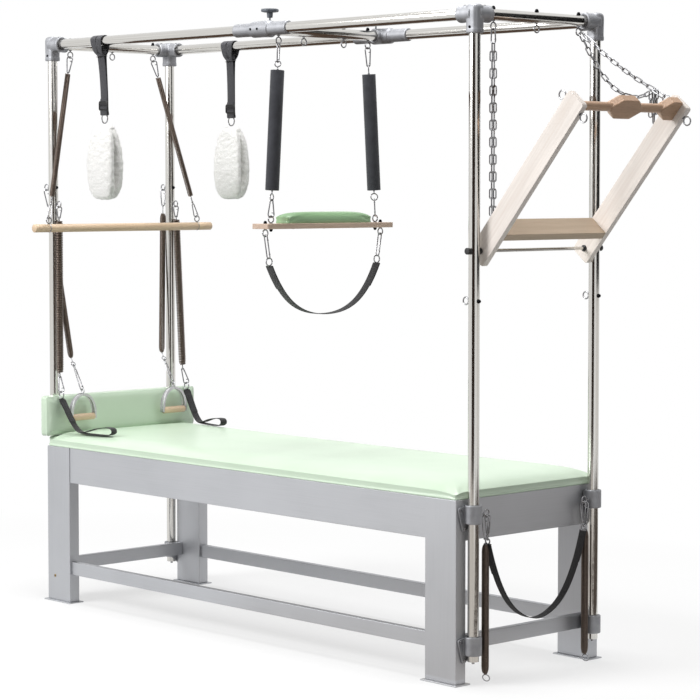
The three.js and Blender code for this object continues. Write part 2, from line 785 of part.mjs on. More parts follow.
// Pivot rod of the push-through bar, through the right posts, with a bush at each arm and end caps
const armOuterY = postY - tubeRadius - armSideGap;
function pivotRod() {
  const spot = (y) => at(postX, y, pivotHeight);
  const rodEnd = postY + tubeRadius + pivotRodReach;
  const shaft = rod(spot(-rodEnd), spot(rodEnd), pivotRodRadius, pivotSides);
  const capRadius = pivotRodRadius + pivotCapWall;
  const caps = [-1, 1].map((y) => rod(spot(y * (postY + tubeRadius + seatGap)),
    spot(y * (rodEnd + pivotCapWall)), capRadius, pivotSides));
  const bushes = [-1, 1].map((y) => rod(spot(y * (armOuterY + seatGap)),
    spot(y * (postY - tubeRadius - seatGap)), bushRadius, pivotSides));
  return join(shaft, ...caps, ...bushes);
}
add('pivot_rod', pivotRod(), stainless());

// Push-through bar: two arms, a shelf across their feet and a handle with bevelled boards on its bar
const armLean = THREE.MathUtils.degToRad(armLeanDegrees);
const armDirection = at(Math.cos(armLean), 0, Math.sin(armLean));
const armUpper = at(-Math.sin(armLean), 0, Math.cos(armLean));
const armPoint = (along, upward, y) => at(postX, y, pivotHeight)
  .addScaledVector(armDirection, along).addScaledVector(armUpper, upward);
const armInnerY = armOuterY - armThickness;
const armMiddleY = armOuterY - armThickness / 2;
const armRing = (side, edge) => eyeBoltCentre(armPoint(armEyePlace, 0, side * armMiddleY),
  armUpper.clone().multiplyScalar(edge), armWidth / 2, armEyeRadius, armEyeShank);

function pushArm(side) {
  const board = plate(roundedOutline(armReach + armHeel, armWidth, armCornerRadius), armThickness, 2)
    .translate((armReach - armHeel) / 2, 0, -armThickness / 2)
    .applyMatrix4(new THREE.Matrix4().makeBasis(armDirection, armUpper, at(0, -1, 0))
      .setPosition(at(postX, side * armMiddleY, pivotHeight)));
  const reach = armThickness / 2 + cutOverrun;
  const hole = rod(at(postX, side * armMiddleY - reach, pivotHeight),
    at(postX, side * armMiddleY + reach, pivotHeight), pivotRodRadius + slidingGap, pivotSides);
  const eyes = [-1, 1].flatMap((edge) => eye(armRing(side, edge), armPoint(armEyePlace, 0, side * armMiddleY),
    armDirection, armEyeRadius));
  return join(cut(board, hole), ...eyes);
}

function pushShelf() {
  return new THREE.BoxGeometry(shelfThickness, armWidth, 2 * (armInnerY - seatGap))
    .applyMatrix4(new THREE.Matrix4().makeBasis(armDirection, armUpper, at(0, -1, 0))
      .setPosition(armPoint(shelfPlace, 0, 0)));
}

const handleEndY = armInnerY - seatGap;

function handleBoard(stations) {
  const outline = new THREE.Shape([
    ...stations.map(([y, half]) => new THREE.Vector2(y, -half)),
    ...stations.toReversed().map(([y, half]) => new THREE.Vector2(y, half)),
  ]);
  return plate(outline, handleBlockThickness, 1)
    .translate(0, 0, -handleBlockThickness / 2)
    .applyMatrix4(new THREE.Matrix4().makeBasis(at(0, 1, 0), armDirection, armUpper.clone().negate())
      .setPosition(armPoint(handlePlace, 0, 0)));
}

function pushHandle() {
  const bar = rod(armPoint(handlePlace, 0, -handleEndY), armPoint(handlePlace, 0, handleEndY), handleRadius,
    pivotSides);
  const neck = handleRadius / 2;
  const half = handleBlockWidth / 2;
  const blockFrom = handleBlockOffset - handleBlockLength / 2;
  const blockTo = handleBlockOffset + handleBlockLength / 2;
  const block = handleBoard([[blockFrom, neck], [blockFrom + handleBevelLength, half],
    [blockTo - handleBevelLength, half], [blockTo, neck]]);
  const flareFrom = handleEndY - handleFlareLength;
  const flare = handleBoard([[flareFrom, neck], [flareFrom + handleBevelLength, half], [handleEndY, half]]);
  return join(bar, block, flare);
}

for (const [side, name] of sides) add(`push_bar_arm_${name}`, pushArm(side), birchPly());
add('push_bar_shelf', pushShelf(), birchPly());
add('push_bar_handle', pushHandle(), beech());

// Chains: linked wire loops, each turned a quarter from the next and pulled tight at its ends
function chainLink(centre, along, across, pitch) {
  const half = (pitch + 2 * chainWire * wireInnerShare - weldDepth) / 2;
  const straight = half * chainStraightShare;
  const points = [
    [chainLinkHalfWidth, straight], [0, half], [-chainLinkHalfWidth, straight],
    [-chainLinkHalfWidth, -straight], [0, -half], [chainLinkHalfWidth, -straight],
  ].map(([x, z]) => at(x, 0, z));
  return placed(bentWire(points, acrossY, chainWire), centre, along, across);
}

// Links along a curve between the centres of the wires that its end links hook over
function chainBetween(points, across) {
  const drawn = points.length > 2 ? new THREE.QuadraticBezierCurve3(...points) : new THREE.LineCurve3(...points);
  const hookOver = hardwareWire * wireInnerShare - weldDepth / 2;
  const length = drawn.getLength() + 2 * hookOver;
  const count = Math.max(1, Math.round(length / chainPitch));
  const pitch = length / count;
  return Array.from({ length: count }, (_, i) => {
    const share = ((i + 1 / 2) * pitch - hookOver) / drawn.getLength();
    const along = drawn.getTangentAt(share);
    const side = across.clone().addScaledVector(along, -across.dot(along)).normalize()
      .applyAxisAngle(along, Math.PI / 4 + (i % 2) * Math.PI / 2);
    return chainLink(drawn.getPointAt(share), along, side, pitch);
  });
}

const railEyeLow = railHeight - tubeRadius - eyeShank - 2 * eyeRadius;
const strandRise = chainStrandOffset * Math.tan(Math.PI / clipArcSteps / 2);

function looseChain() {
  const top = at(postX, -railEyeSpacing, railEyeLow);
  const hook = top.clone().addScaledVector(down, chainClipSpan);
  const strands = [-1, 1].flatMap((side) => {
    const start = hook.clone().add(at(side * chainStrandOffset, 0, strandRise));
    return chainBetween([start, start.clone().addScaledVector(down, looseChainLength - chainClipSpan)],
      acrossX);
  });
  return join(clip(top, hook, acrossX, [freeHold, 0], [clipRadius, chainClipRadius]), ...strands);
}

function holdingChain() {
  const railRing = at(postX, railEyeSpacing, railEyeLow + eyeRadius);
  const ring = armRing(1, 1);
  const along = ring.clone().sub(railRing).normalize();
  const top = pulledSpot(railRing, down, along, eyeRadius);
  const anchor = pulledSpot(ring, armUpper.clone().negate(), along.clone().negate(), armEyeRadius);
  const hook = top.clone().addScaledVector(along, chainClipSpan);
  const endHook = anchor.clone().addScaledVector(along, -chainClipSpan);
  const sidestep = new THREE.Vector3().crossVectors(along, acrossY).normalize();
  const start = (side) => hook.clone().addScaledVector(sidestep, side * chainStrandOffset)
    .addScaledVector(along, -strandRise);
  const end = (side) => endHook.clone().addScaledVector(acrossY, side * chainStrandOffset)
    .addScaledVector(along, strandRise);
  const sag = hook.distanceTo(endHook) * slackSagShare;
  const low = start(1).lerp(end(1), 1 / 2).addScaledVector(down, sag * 2);
  const spareEnd = endHook.clone().addScaledVector(down, spareChainLength);
  return join(
    clip(top, hook, acrossX, [freeHold, 0], [clipRadius, chainClipRadius]),
    clip(endHook, anchor, acrossY, [0, freeHold], [chainClipRadius, clipRadius]),
    ...chainBetween([start(-1), end(-1)], acrossY),
    ...chainBetween([start(1), low, end(1)], acrossY),
    ...chainBetween([endHook, spareEnd], acrossX),
  );
}

add('loose_chain', looseChain(), chrome());
add('holding_chain', holdingChain(), chrome());

// Sliding cross bar: a Tee sleeve on each side rail, the bar between them and its eyebolts
const barSeat = teeSocketReach - teeSeatDepth;

function tee(side) {
  const centre = at(crossBarPlace, side * postY, railHeight);
  const spot = (alongRail, inward) => centre.clone().add(at(alongRail, -side * inward, 0));
  const along = (length, radius) => rod(spot(-length / 2, 0), spot(length / 2, 0), radius, tubeSides);
  return cut(
    join(along(teeSleeveLength, teeSleeveRadius), along(teeBodyLength, teeBodyRadius),
      rod(centre, spot(0, teeSocketReach), teeSocketRadius, tubeSides)),
    along(teeSleeveLength + 2 * cutOverrun, tubeRadius + slidingGap),
    rod(spot(0, barSeat), spot(0, teeSocketReach + cutOverrun), tubeRadius + slidingGap, tubeSides),
  );
}

for (const [side, name] of sides) add(`cross_bar_tee_${name}`, tee(side), greyCasting());
const barEnd = postY - barSeat - seatGap;
const barEyes = [-outerEyePlace, -innerEyePlace, innerEyePlace, outerEyePlace]
  .flatMap((y) => eyeBolt(at(crossBarPlace, y, railHeight), down, acrossY, tubeRadius));
add('cross_bar', join(openTube(at(crossBarPlace, -barEnd, railHeight), at(crossBarPlace, barEnd, railHeight)),
  ...barEyes), stainless());

function knob(side) {
  const foot = at(crossBarPlace, side * (postY - knobOffset), railHeight + teeSocketRadius + seatGap);
  const lift = (height) => foot.clone().addScaledVector(up, height);
  const steps = knobLobes * knobStepsPerLobe;
  const outline = new THREE.Shape(Array.from({ length: steps }, (_, i) => {
    const angle = i * 2 * Math.PI / steps;
    const radius = knobRadius * (1 - knobLobeDepthShare * (1 - Math.cos(knobLobes * angle)) / 2);
    return new THREE.Vector2(radius * Math.cos(angle), radius * Math.sin(angle));
  }));
  const discBase = knobScrewHeight + knobHubHeight;
  const disc = plate(outline, knobDiscHeight, 1).translate(foot.x, foot.y, foot.z + discBase - weldDepth);
  const hub = rod(lift(knobScrewHeight), lift(discBase), knobHubRadius, nutSides * 2);
  const screw = rod(foot, lift(knobScrewHeight + weldDepth), knobScrewRadius, nutSides);
  return join(disc, hub, screw);
}

for (const [side, name] of sides) add(`knob_${name}`, knob(side), blackPlastic());

// Trapeze: on each side a link, a foam sleeve on a steel hanger and a clip carry the padded plank
const plankHeart = plankTopHeight - plankThickness / 2;
const plankEye = (side) => eyeBoltCentre(at(crossBarPlace, side * plankEyePlace, plankHeart), up,
  plankThickness / 2, eyeRadius, plankEyeShank);

function hangerLine(side) {
  const top = at(crossBarPlace, side * outerEyePlace, railEyeLow);
  const bottom = plankEye(side).add(at(0, 0, eyeRadius));
  const along = bottom.clone().sub(top).normalize();
  const reach = top.distanceTo(bottom);
  const point = (distance) => top.clone().addScaledVector(along, distance);
  return { point, reach };
}

function hanger(side) {
  const { point, reach } = hangerLine(side);
  const sleeveEnd = sleeveTopDrop + sleeveLength;
  const collarTop = sleeveEnd + seatGap;
  return join(
    clip(point(0), point(trapezeLinkSpan), acrossX, [freeHold, 0]),
    rod(point(trapezeLinkSpan - hardwareWire / 2), point(collarTop + weldDepth), hangerRodRadius, nutSides),
    rod(point(collarTop), point(collarTop + hangerCollarHeight), hangerCollarRadius, nutSides * 2),
    clip(point(collarTop + hangerCollarHeight), point(reach), acrossX, [0, freeHold]),
  );
}

function sleeve(side) {
  const { point } = hangerLine(side);
  return tube(point(sleeveTopDrop), point(sleeveTopDrop + sleeveLength), sleeveRadius,
    sleeveRadius - hangerRodRadius - slidingGap, sleeveSides);
}

for (const [side, name] of sides) {
  add(`trapeze_hanger_${name}`, hanger(side), chrome());
  add(`trapeze_sleeve_${name}`, sleeve(side), foamRubber());
}

function plank() {
  const board = box(plankWidth, plankLength, plankThickness, crossBarPlace, 0, plankHeart);
  const spot = (y) => at(crossBarPlace, y, plankHeart);
  const eyes = [-1, 1].flatMap((side) => [
    ...eyeBolt(spot(side * plankEyePlace), up, acrossY, plankThickness / 2, eyeRadius, plankEyeShank),
    ...eyeBolt(spot(side * slingEyePlace), down, acrossY, plankThickness / 2, eyeRadius, plankEyeShank),
  ]);
  return join(board, ...eyes);
}

add('trapeze_plank', plank(), birchPly());
add('trapeze_cushion', cushion(seatCushionWidth, seatCushionLength, seatCushionHeight, seatCushionRadius,
  padSideDraw / 2, seatCrownShares).translate(crossBarPlace, 0, plankTopHeight + seatGap), greenVinyl());

// Sling under the plank: a hanging strap with a ring and a swivelling hook at each end
function hangingPath(x, topY, topZ, lowZ) {
  return Array.from({ length: strapSteps + 1 }, (_, i) => {
    const share = Math.sin((i / strapSteps - 1 / 2) * Math.PI);
    return at(x, topY * share, lowZ + (topZ - lowZ) * (share ** 2 + share ** 4) / 2);
  });
}

function slingHook(side) {
  const plankRing = eyeBoltCentre(at(crossBarPlace, side * slingEyePlace, plankHeart), down,
    plankThickness / 2, eyeRadius, plankEyeShank);
  const strapRing = at(crossBarPlace, side * slingStrapTopPlace, slingStrapTopHeight + dRingRadius);
  const pull = strapRing.clone().sub(plankRing).normalize();
  return [
    clip(pulledSpot(plankRing, down, pull, eyeRadius),
      pulledSpot(strapRing, up, pull.clone().negate(), dRingRadius), acrossX, [freeHold, fixedHold]),
    wireRing(strapRing, dRingRadius, up, acrossY),
  ];
}

add('trapeze_sling', join(...slingHook(-1), ...slingHook(1), band(hangingPath(crossBarPlace,
  slingStrapTopPlace, slingStrapTopHeight, slingStrapLowHeight), acrossX, slingStrapWidth,
strapThickness)), webbing());

// Roll-down bar on two springs from the left cross rail
const rollBarHeart = (y) => at(-postX + rollBarForward, y, rollBarHeight);
const rollEye = (side) => eyeBoltCentre(rollBarHeart(side * rollBarEyePlace), up, rollBarRadius, eyeRadius,
  plankEyeShank);
add('roll_down_bar', join(rod(rollBarHeart(-rollBarLength / 2), rollBarHeart(rollBarLength / 2), rollBarRadius,
  pivotSides), ...[-1, 1].flatMap((side) => eye(rollEye(side), rollBarHeart(side * rollBarEyePlace), acrossY,
  eyeRadius))), beech());
for (const [side, name] of sides) {
  const top = at(-postX, side * railEyeSpacing, railEyeLow + eyeRadius);
  const pull = rollEye(side).sub(top).normalize();
  add(`roll_down_spring_${name}`, hungSpring(pulledSpot(top, down, pull, eyeRadius),
    pulledSpot(rollEye(side), up, pull.clone().negate(), eyeRadius), rollSpringRadius, acrossX,
    [rollClipSpan, rollClipSpan], [freeHold, freeHold]), springSteel());
}

// Arm springs: each hangs on its post's outer eye, passes inside the post and drops a handle over the
// headboard
const postEyeReach = tubeRadius + eyeShank + eyeRadius;
const handleX = headboardBack + headboardThickness + handleForwardOfBoard;

function armHandle(side) {
  const centre = at(handleX, side * (postY - handleInward), gripHeight);
  const half = gripLength / 2 + seatGap * 2 + bowThickness;
  const rise = bowRise + bowThickness;
  const heel = gripRodRadius * 2;
  const arch = (inset) => Array.from({ length: bowSteps + 1 }, (_, i) => {
    const angle = i * Math.PI / bowSteps;
    return [(half - inset) * Math.cos(angle), gripRadius + (rise - gripRadius - inset) * Math.sin(angle)];
  });
  const outline = new THREE.Shape([
    [half, -heel], ...arch(0), [-half, -heel], [-half + bowThickness, -heel], ...arch(bowThickness).reverse(),
    [half - bowThickness, -heel],
  ].map((point) => new THREE.Vector2(...point)));
  const strip = plate(outline, bowDepth, 1)
    .applyMatrix4(new THREE.Matrix4().makeBasis(acrossY, up, acrossX))
    .translate(centre.x - bowDepth / 2, centre.y, centre.z);
  const pin = rod(centre.clone().sub(at(0, half, 0)), centre.clone().add(at(0, half, 0)), gripRodRadius,
    nutSides);
  const eyeAt = centre.clone().add(at(0, 0, rise + eyeShank / 2 + smallEyeRadius));
  const bow = join(strip, pin, ...eye(eyeAt, centre.clone().add(at(0, 0, rise - bowThickness / 2)), acrossX));
  const grip = tube(centre.clone().sub(at(0, gripLength / 2, 0)), centre.clone().add(at(0, gripLength / 2, 0)),
    gripRadius, gripRadius - gripRodRadius - slidingGap, pivotSides);
  return { bow, grip, eyeAt };
}

function armSpring(side, handleEye) {
  const top = at(-postX - tubeRadius - upperPostEyeShank - eyeRadius, side * postY,
    upperPostEyeHeight - eyeRadius);
  const spring = at(-postX + armHangForward, side * (postY - armHangInward), armSpringFootHeight);
  const body = hungSpring(top, spring, armSpringRadius, acrossY, [armClipSpan, 0], [freeHold, fixedHold]);
  const pull = spring.clone().sub(handleEye).normalize();
  const spot = pulledSpot(handleEye, up, pull, smallEyeRadius);
  return join(body, clip(spring, spot, acrossY, [0, freeHold - slidingGap]));
}

for (const [side, name] of sides) {
  const { bow, grip, eyeAt } = armHandle(side);
  add(`arm_spring_${name}`, armSpring(side, eyeAt), springSteel());
  add(`arm_handle_${name}`, bow, chrome());
  add(`arm_grip_${name}`, grip, beech());
}

// Leg springs: open coils on the posts' inner eyes, each with clips, a ring and a loop strap on the pad
function coil(top, bottom) {
  const axis = bottom.clone().sub(top).normalize();
  const sideways = acrossX.clone().addScaledVector(axis, -axis.x).normalize();
  const other = new THREE.Vector3().crossVectors(axis, sideways);
  const steps = coilCurls * coilSteps;
  const centres = Array.from({ length: steps + 1 }, (_, i) => {
    const share = i / steps;
    const angle = i / coilSteps * 2 * Math.PI;
    const radius = coilRadius * Math.min(1, i / coilSteps, (steps - i) / coilSteps);
    return top.clone().addScaledVector(axis, share * top.distanceTo(bottom))
      .addScaledVector(sideways, radius * Math.cos(angle)).addScaledVector(other, radius * Math.sin(angle));
  });
  const rings = centres.map((centre, i) => {
    const along = centres[Math.min(i + 1, steps)].clone().sub(centres[Math.max(i - 1, 0)]).normalize();
    const outward = axis.clone().addScaledVector(along, -axis.dot(along)).normalize();
    const third = new THREE.Vector3().crossVectors(along, outward);
    return Array.from({ length: coilSides }, (_, j) => {
      const angle = j * 2 * Math.PI / coilSides;
      return centre.clone().addScaledVector(outward, coilWireRadius * Math.cos(angle))
        .addScaledVector(third, coilWireRadius * Math.sin(angle));
    });
  });
  const gaps = centres.flatMap((centre, i) => centres.slice(i + coilSteps / 2, i + 2 * coilSteps)
    .map((later) => centre.distanceTo(later) - 2 * coilWireRadius));
  return { body: loft(rings), gap: Math.min(...gaps) };
}

const legRingCentre = (side) => at(headboardBack + headboardThickness + legStrapForwardOfBoard,
  side * (postY + legSpringOutward + legRingOutward), legStrapTopHeight + seatGap + hardwareWire + dRingRadius);

function legSpring(side) {
  const top = at(-postX + postEyeReach, side * postY, lowerPostEyeHeight - eyeRadius);
  const foot = at(-postX + postEyeReach + legSpringForward, side * (postY + legSpringOutward),
    legSpringFootHeight);
  const along = foot.clone().sub(top).normalize();
  const reach = top.distanceTo(foot);
  const point = (distance) => top.clone().addScaledVector(along, distance);
  const { body, gap } = coil(point(legClipSpan), point(reach));
  console.log(`leg spring ${side}: the coil's least gap to itself is ${gap.toFixed(2)} mm`);
  return join(
    clip(top, point(legClipSpan), acrossY, [freeHold, 0]),
    body,
    clip(foot, legRingCentre(side).add(at(0, 0, dRingRadius)), acrossY, [0, fixedHold]),
    wireRing(legRingCentre(side), dRingRadius, up, acrossX),
  );
}

function legStrap(side) {
  const turn = THREE.MathUtils.degToRad(side < 0 ? frontStrapTurnDegrees : backStrapTurnDegrees);
  const forward = at(Math.cos(turn), -side * Math.sin(turn), 0);
  const across = at(side * Math.sin(turn), Math.cos(turn), 0);
  const start = legRingCentre(side);
  const rest = strapThickness / 2 + seatGap;
  const path = legStrapShares.map(([reachShare, riseShare]) => {
    const point = start.clone().addScaledVector(forward, legStrapReach * reachShare);
    const floor = padSurface(tableWidth / 2 - Math.abs(point.y) + legStrapWidth / 2) + rest;
    return point.setZ(floor + (legStrapTopHeight - floor) * riseShare);
  });
  return band(path, across, legStrapWidth, strapThickness);
}

for (const [side, name] of sides) {
  add(`leg_spring_${name}`, legSpring(side), springSteel());
  add(`leg_strap_${name}`, legStrap(side), webbing());
}

// Fleece cuffs: a webbing strap over the side rail with a buckle and a ring, and a padded loop below
function cuffStrap(side, x) {
  const spot = (y, z) => at(x, side * postY + y, z);
  const radius = tubeRadius + slidingGap + strapThickness / 2;
  const apart = strapThickness / 2 + seatGap;
  const foot = cuffTopHeight + 2 * cuffRingRadius;
  const wrap = Math.PI * cuffWrapShare;
  const arc = Array.from({ length: strapSteps + 1 }, (_, i) => {
    const angle = wrap * (2 * i / strapSteps - 1);
    return spot(radius * Math.sin(angle), railHeight + radius * Math.cos(angle));
  });
  const joinHeight = buckleHeight + buckleTall / 2;
  const strap = band([spot(-apart, foot), spot(-apart, joinHeight), ...arc, spot(apart, joinHeight),
    spot(apart, foot)], acrossX, cuffStrapWidth, strapThickness);
  const buckleDepth = 2 * (apart + strapThickness / 2 + buckleThickness);
  const buckle = box(buckleWidth, buckleDepth, buckleTall, x, side * postY, buckleHeight);
  const ring = wireRing(spot(0, cuffTopHeight + cuffRingRadius + hardwareWire + seatGap), cuffRingRadius, up,
    acrossX);
  return join(strap, buckle, ring);
}

function cuffLoop(side, x) {
  const middle = (cuffTopHeight + cuffBottomHeight) / 2;
  const halfThick = cuffThickness / 2;
  const halfTall = (cuffTopHeight - cuffBottomHeight) / 2 - halfThick;
  const halfDeep = cuffDepth / 2 - halfThick;
  const rings = Array.from({ length: cuffSteps }, (_, i) => {
    const angle = i * 2 * Math.PI / cuffSteps;
    const centre = at(x, side * postY + halfDeep * Math.sin(angle), middle + halfTall * Math.cos(angle));
    const outward = at(0, Math.sin(angle) / halfDeep, Math.cos(angle) / halfTall).normalize();
    const halfWide = cuffWidth / 2 * (1 - cuffWaistShare * Math.cos(angle) ** 2);
    return cuffSectionShares.map(([wide, deep]) => centre.clone().add(at(halfWide * wide, 0, 0))
      .addScaledVector(outward, halfThick * deep));
  });
  return loft(rings, true);
}

for (const [side, name, x] of [[-1, 'front', cuffPlaceFront], [1, 'back', cuffPlaceBack]]) {
  add(`cuff_strap_${name}`, cuffStrap(side, x), greyWebbing());
  add(`cuff_${name}`, cuffLoop(side, x), fleece());
}

// Springs and a strap hang side by side from the eyes on the right-hand upper clamps
const endWire = (side, offset) => clampEyeCentre(side).add(at(0, side * offset, -eyeRadius
  + Math.abs(offset) * Math.tan(Math.PI / ringSegments)));

function endSpring(side) {
  const hook = endWire(side, endHookOffset);
  const point = (drop) => hook.clone().addScaledVector(down, drop);
  const reach = hook.z - endSpringFootHeight;
  const springEnd = reach - 2 * smallEyeRadius - eyeShank;
  return join(
    clip(hook, point(endClipSpan), acrossX, [freeHold, 0]),
    closeSpring(point(endClipSpan), point(springEnd), endSpringRadius),
    ...eye(point(reach - smallEyeRadius), point(springEnd - weldDepth), acrossX),
  );
}

function endStrap() {
  const hooks = [-1, 1].map((side) => endWire(side, -endHookOffset));
  const lows = hooks.map((hook) => hook.clone().addScaledVector(down, endStrapClipSpan));
  const strap = band(hangingPath(lows[1].x, lows[1].y, lows[1].z, endStrapLowHeight), acrossX, endStrapWidth,
    strapThickness);
  return join(strap, ...hooks.map((hook, i) => clip(hook, lows[i], acrossX, [freeHold, 0])));
}

for (const [side, name] of sides) add(`end_spring_${name}`, endSpring(side), springSteel());
add('end_strap', endStrap(), webbing());

// The model's origin is the middle of its footprint, on the floor
const bounds = new THREE.Box3().setFromObject(table);
const middle = bounds.getCenter(new THREE.Vector3());
table.position.set(-middle.x, -middle.y, -bounds.min.z);

export default table;
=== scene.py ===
# %% [markdown]
# # A trapeze table, dressed
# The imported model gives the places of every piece. This script puts finished surfaces in those
# places: turned tubes, wound springs, linked chains, webbing, padding and wood. Each cell first says
# what the piece is on the real object and why it is made the way it is.

# %% Load the frame
import math

import bmesh
import bpy
import numpy as np
from mathutils import Matrix, Vector


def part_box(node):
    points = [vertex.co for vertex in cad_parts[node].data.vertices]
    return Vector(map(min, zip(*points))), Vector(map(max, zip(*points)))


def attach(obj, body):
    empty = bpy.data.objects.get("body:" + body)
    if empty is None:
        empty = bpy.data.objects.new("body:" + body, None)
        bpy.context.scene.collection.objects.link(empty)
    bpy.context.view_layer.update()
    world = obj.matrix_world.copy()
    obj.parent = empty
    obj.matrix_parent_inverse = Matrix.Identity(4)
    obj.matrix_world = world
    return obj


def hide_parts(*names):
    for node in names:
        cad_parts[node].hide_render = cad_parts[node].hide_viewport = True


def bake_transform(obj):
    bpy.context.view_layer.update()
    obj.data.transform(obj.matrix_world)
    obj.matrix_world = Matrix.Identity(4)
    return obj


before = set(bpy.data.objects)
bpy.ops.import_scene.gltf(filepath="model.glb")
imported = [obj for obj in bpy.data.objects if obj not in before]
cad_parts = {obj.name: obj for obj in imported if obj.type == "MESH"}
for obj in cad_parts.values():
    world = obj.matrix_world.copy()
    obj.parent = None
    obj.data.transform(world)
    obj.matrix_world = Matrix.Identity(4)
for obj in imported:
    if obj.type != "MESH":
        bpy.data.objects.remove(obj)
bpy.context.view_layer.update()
SIDES = ((-1, "front"), (1, "back"))
ENDS = ((-1, "left"), (1, "right"))

# %% [markdown]
# Workshop drawings of such a table are in millimetres from the middle of the bed, on the floor. The
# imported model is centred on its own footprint, which the leaning push-through bar pulls along X. So
# all places are written in drawing millimetres and turned into the frame's metres by one function.

# %% Drawing millimetres to the frame
BED_TO_FRAME = 194.404
MM = 0.001


def at(x, y, z):
    """A drawing point in the frame: X less the model's offset, and all three in metres."""
    return np.array([x - BED_TO_FRAME, y, z], float) * MM


def unit(vector):
    """The vector divided by its own length."""
    vector = np.asarray(vector, float)
    return vector / np.linalg.norm(vector)


X, Y, Z = np.eye(3)
print("bed's middle at", at(0, 0, 0).tolist())

# %% [markdown]
# Every surface below is a grid of points with rows and columns. A tube is such a grid with its
# columns closed into a ring, and a link of chain closes its rows as well. `skin` turns the grid into
# faces with whole-array index sums, and turns them round if the volume they hold comes out negative,
# so that the faces always point outwards.

# %% Grids of points become closed skins
def skin(points, wrap_rows=False, local=None):
    """Quads between neighbours of a grid whose columns close into rings. Their outward sense comes from
    the signed volume: the sum over the faces of corner · (edge × edge)."""
    rows, columns = points.shape[:2]
    index = np.arange(rows * columns).reshape(rows, columns)
    below = np.roll(index, -1, 0)
    quads = np.stack([index, np.roll(index, -1, 1), np.roll(below, -1, 1), below], -1)
    if not wrap_rows:
        quads = quads[:-1]
    quads = quads.reshape(-1, 4)
    flat = points.reshape(-1, 3)
    ends = [] if wrap_rows else [index[0, ::-1], index[-1]]
    middle = flat.mean(0)
    corner = flat[quads] - middle
    volume = np.einsum("ij,ij->", corner[:, 0], np.cross(corner[:, 1], corner[:, 2]))
    volume += np.einsum("ij,ij->", corner[:, 0], np.cross(corner[:, 2], corner[:, 3]))
    if volume < 0:
        quads = quads[:, ::-1]
        ends = [end[::-1] for end in ends]
    faces = quads.tolist() + [end.tolist() for end in ends]
    own = flat if local is None else np.asarray(local, float).reshape(-1, 3)
    return flat, faces, own


def put(name, data):
    """An object for the data, linked into the scene."""
    made = bpy.data.objects.new(name, data)
    bpy.context.scene.collection.objects.link(made)
    return made


def belongs(made, finish, body, replaces):
    """The body that the piece rides and the nodes that it replaces; the finish is not used."""
    if isinstance(body, str):
        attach(made, body)
    else:
        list(body)
        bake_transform(made)
    if replaces:
        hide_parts(*replaces)


def piece(name, skins, finish, body, replaces=(), smooth=40, bevel=0.0, bevel_steps=2):
    """One object from several closed skins, with the pieces' own coordinates kept for its finish."""
    grids, groups, owns = zip(*skins)
    start = np.cumsum([0] + [len(grid) for grid in grids])
    points = np.concatenate(grids)
    faces = [[first + i for i in face] for first, group in zip(start, groups) for face in group]
    mesh = bpy.data.meshes.new(name)
    mesh.from_pydata(points.tolist(), [], faces)
    own = mesh.attributes.new("own", "FLOAT_VECTOR", "POINT")
    own.data.foreach_set("vector", np.concatenate(owns).astype(np.float32).ravel())
    mesh.shade_smooth()
    mesh.set_sharp_from_angle(angle=math.radians(smooth))
    mesh.materials.append(finish)
    made = put(name, mesh)
    if bevel:
        rounding = made.modifiers.new("edges", "BEVEL")
        rounding.width = bevel
        rounding.segments = bevel_steps
        rounding.limit_method = "ANGLE"
        rounding.angle_limit = math.radians(smooth)
        rounding.harden_normals = True
    if body:
        belongs(made, finish, body, replaces)
    return made


print("grids become skins")

# %% [markdown]
# Most of the hardware is one profile carried along one path: round wire along a ring, a flat strap
# along a hanging curve, a circle along a helix. `sweep` does all of these. The path's reference
# direction keeps the profile from twisting: one axis of the profile is the cross product of the
# reference and the path's tangent, and the other is square to both.

# %% A profile carried along a path
def tangents(path, closed):
    """Unit differences between the next point of the path and the one before."""
    step = np.roll(path, -1, 0) - np.roll(path, 1, 0)
    if not closed:
        step[0], step[-1] = path[1] - path[0], path[-1] - path[-2]
    return step / np.linalg.norm(step, axis=1, keepdims=True)


def run_along(path):
    """The distance from the path's first point to each of its points."""
    return np.concatenate([[0], np.cumsum(np.linalg.norm(np.diff(path, axis=0), axis=1))])


def carried(path, shape, side, lift, closed=False):
    """point = path + u · side + v · lift. The piece's own coordinates are the length along the path,
    then u and v."""
    if shape.ndim == 2:
        shape = np.broadcast_to(shape, (len(path), *shape.shape))
    points = path[:, None] + shape[..., :1] * side[:, None] + shape[..., 1:] * lift[:, None]
    run = np.broadcast_to(run_along(path)[:, None, None], (*shape.shape[:2], 1))
    return skin(points, wrap_rows=closed, local=np.concatenate([run, shape], -1))


def sweep(path, profile, reference, closed=False):
    """Carries the profile with side = reference × tangent and lift = tangent × side."""
    path = np.asarray(path, float)
    along = tangents(path, closed)
    side = np.cross(np.broadcast_to(reference, along.shape), along)
    side /= np.linalg.norm(side, axis=1, keepdims=True)
    return carried(path, np.asarray(profile, float), side, np.cross(along, side), closed)


def circle(radius, count):
    """(radius · cos a, radius · sin a) for equal steps of a round the turn."""
    turn = np.arange(count) * 2 * np.pi / count
    return radius * np.stack([np.cos(turn), np.sin(turn)], -1)


def cross_axes(axis):
    """Two directions square to the axis and to each other."""
    across = unit(np.cross(axis, X if abs(axis[0]) < 0.7 else Y))
    return across, np.cross(axis, across)


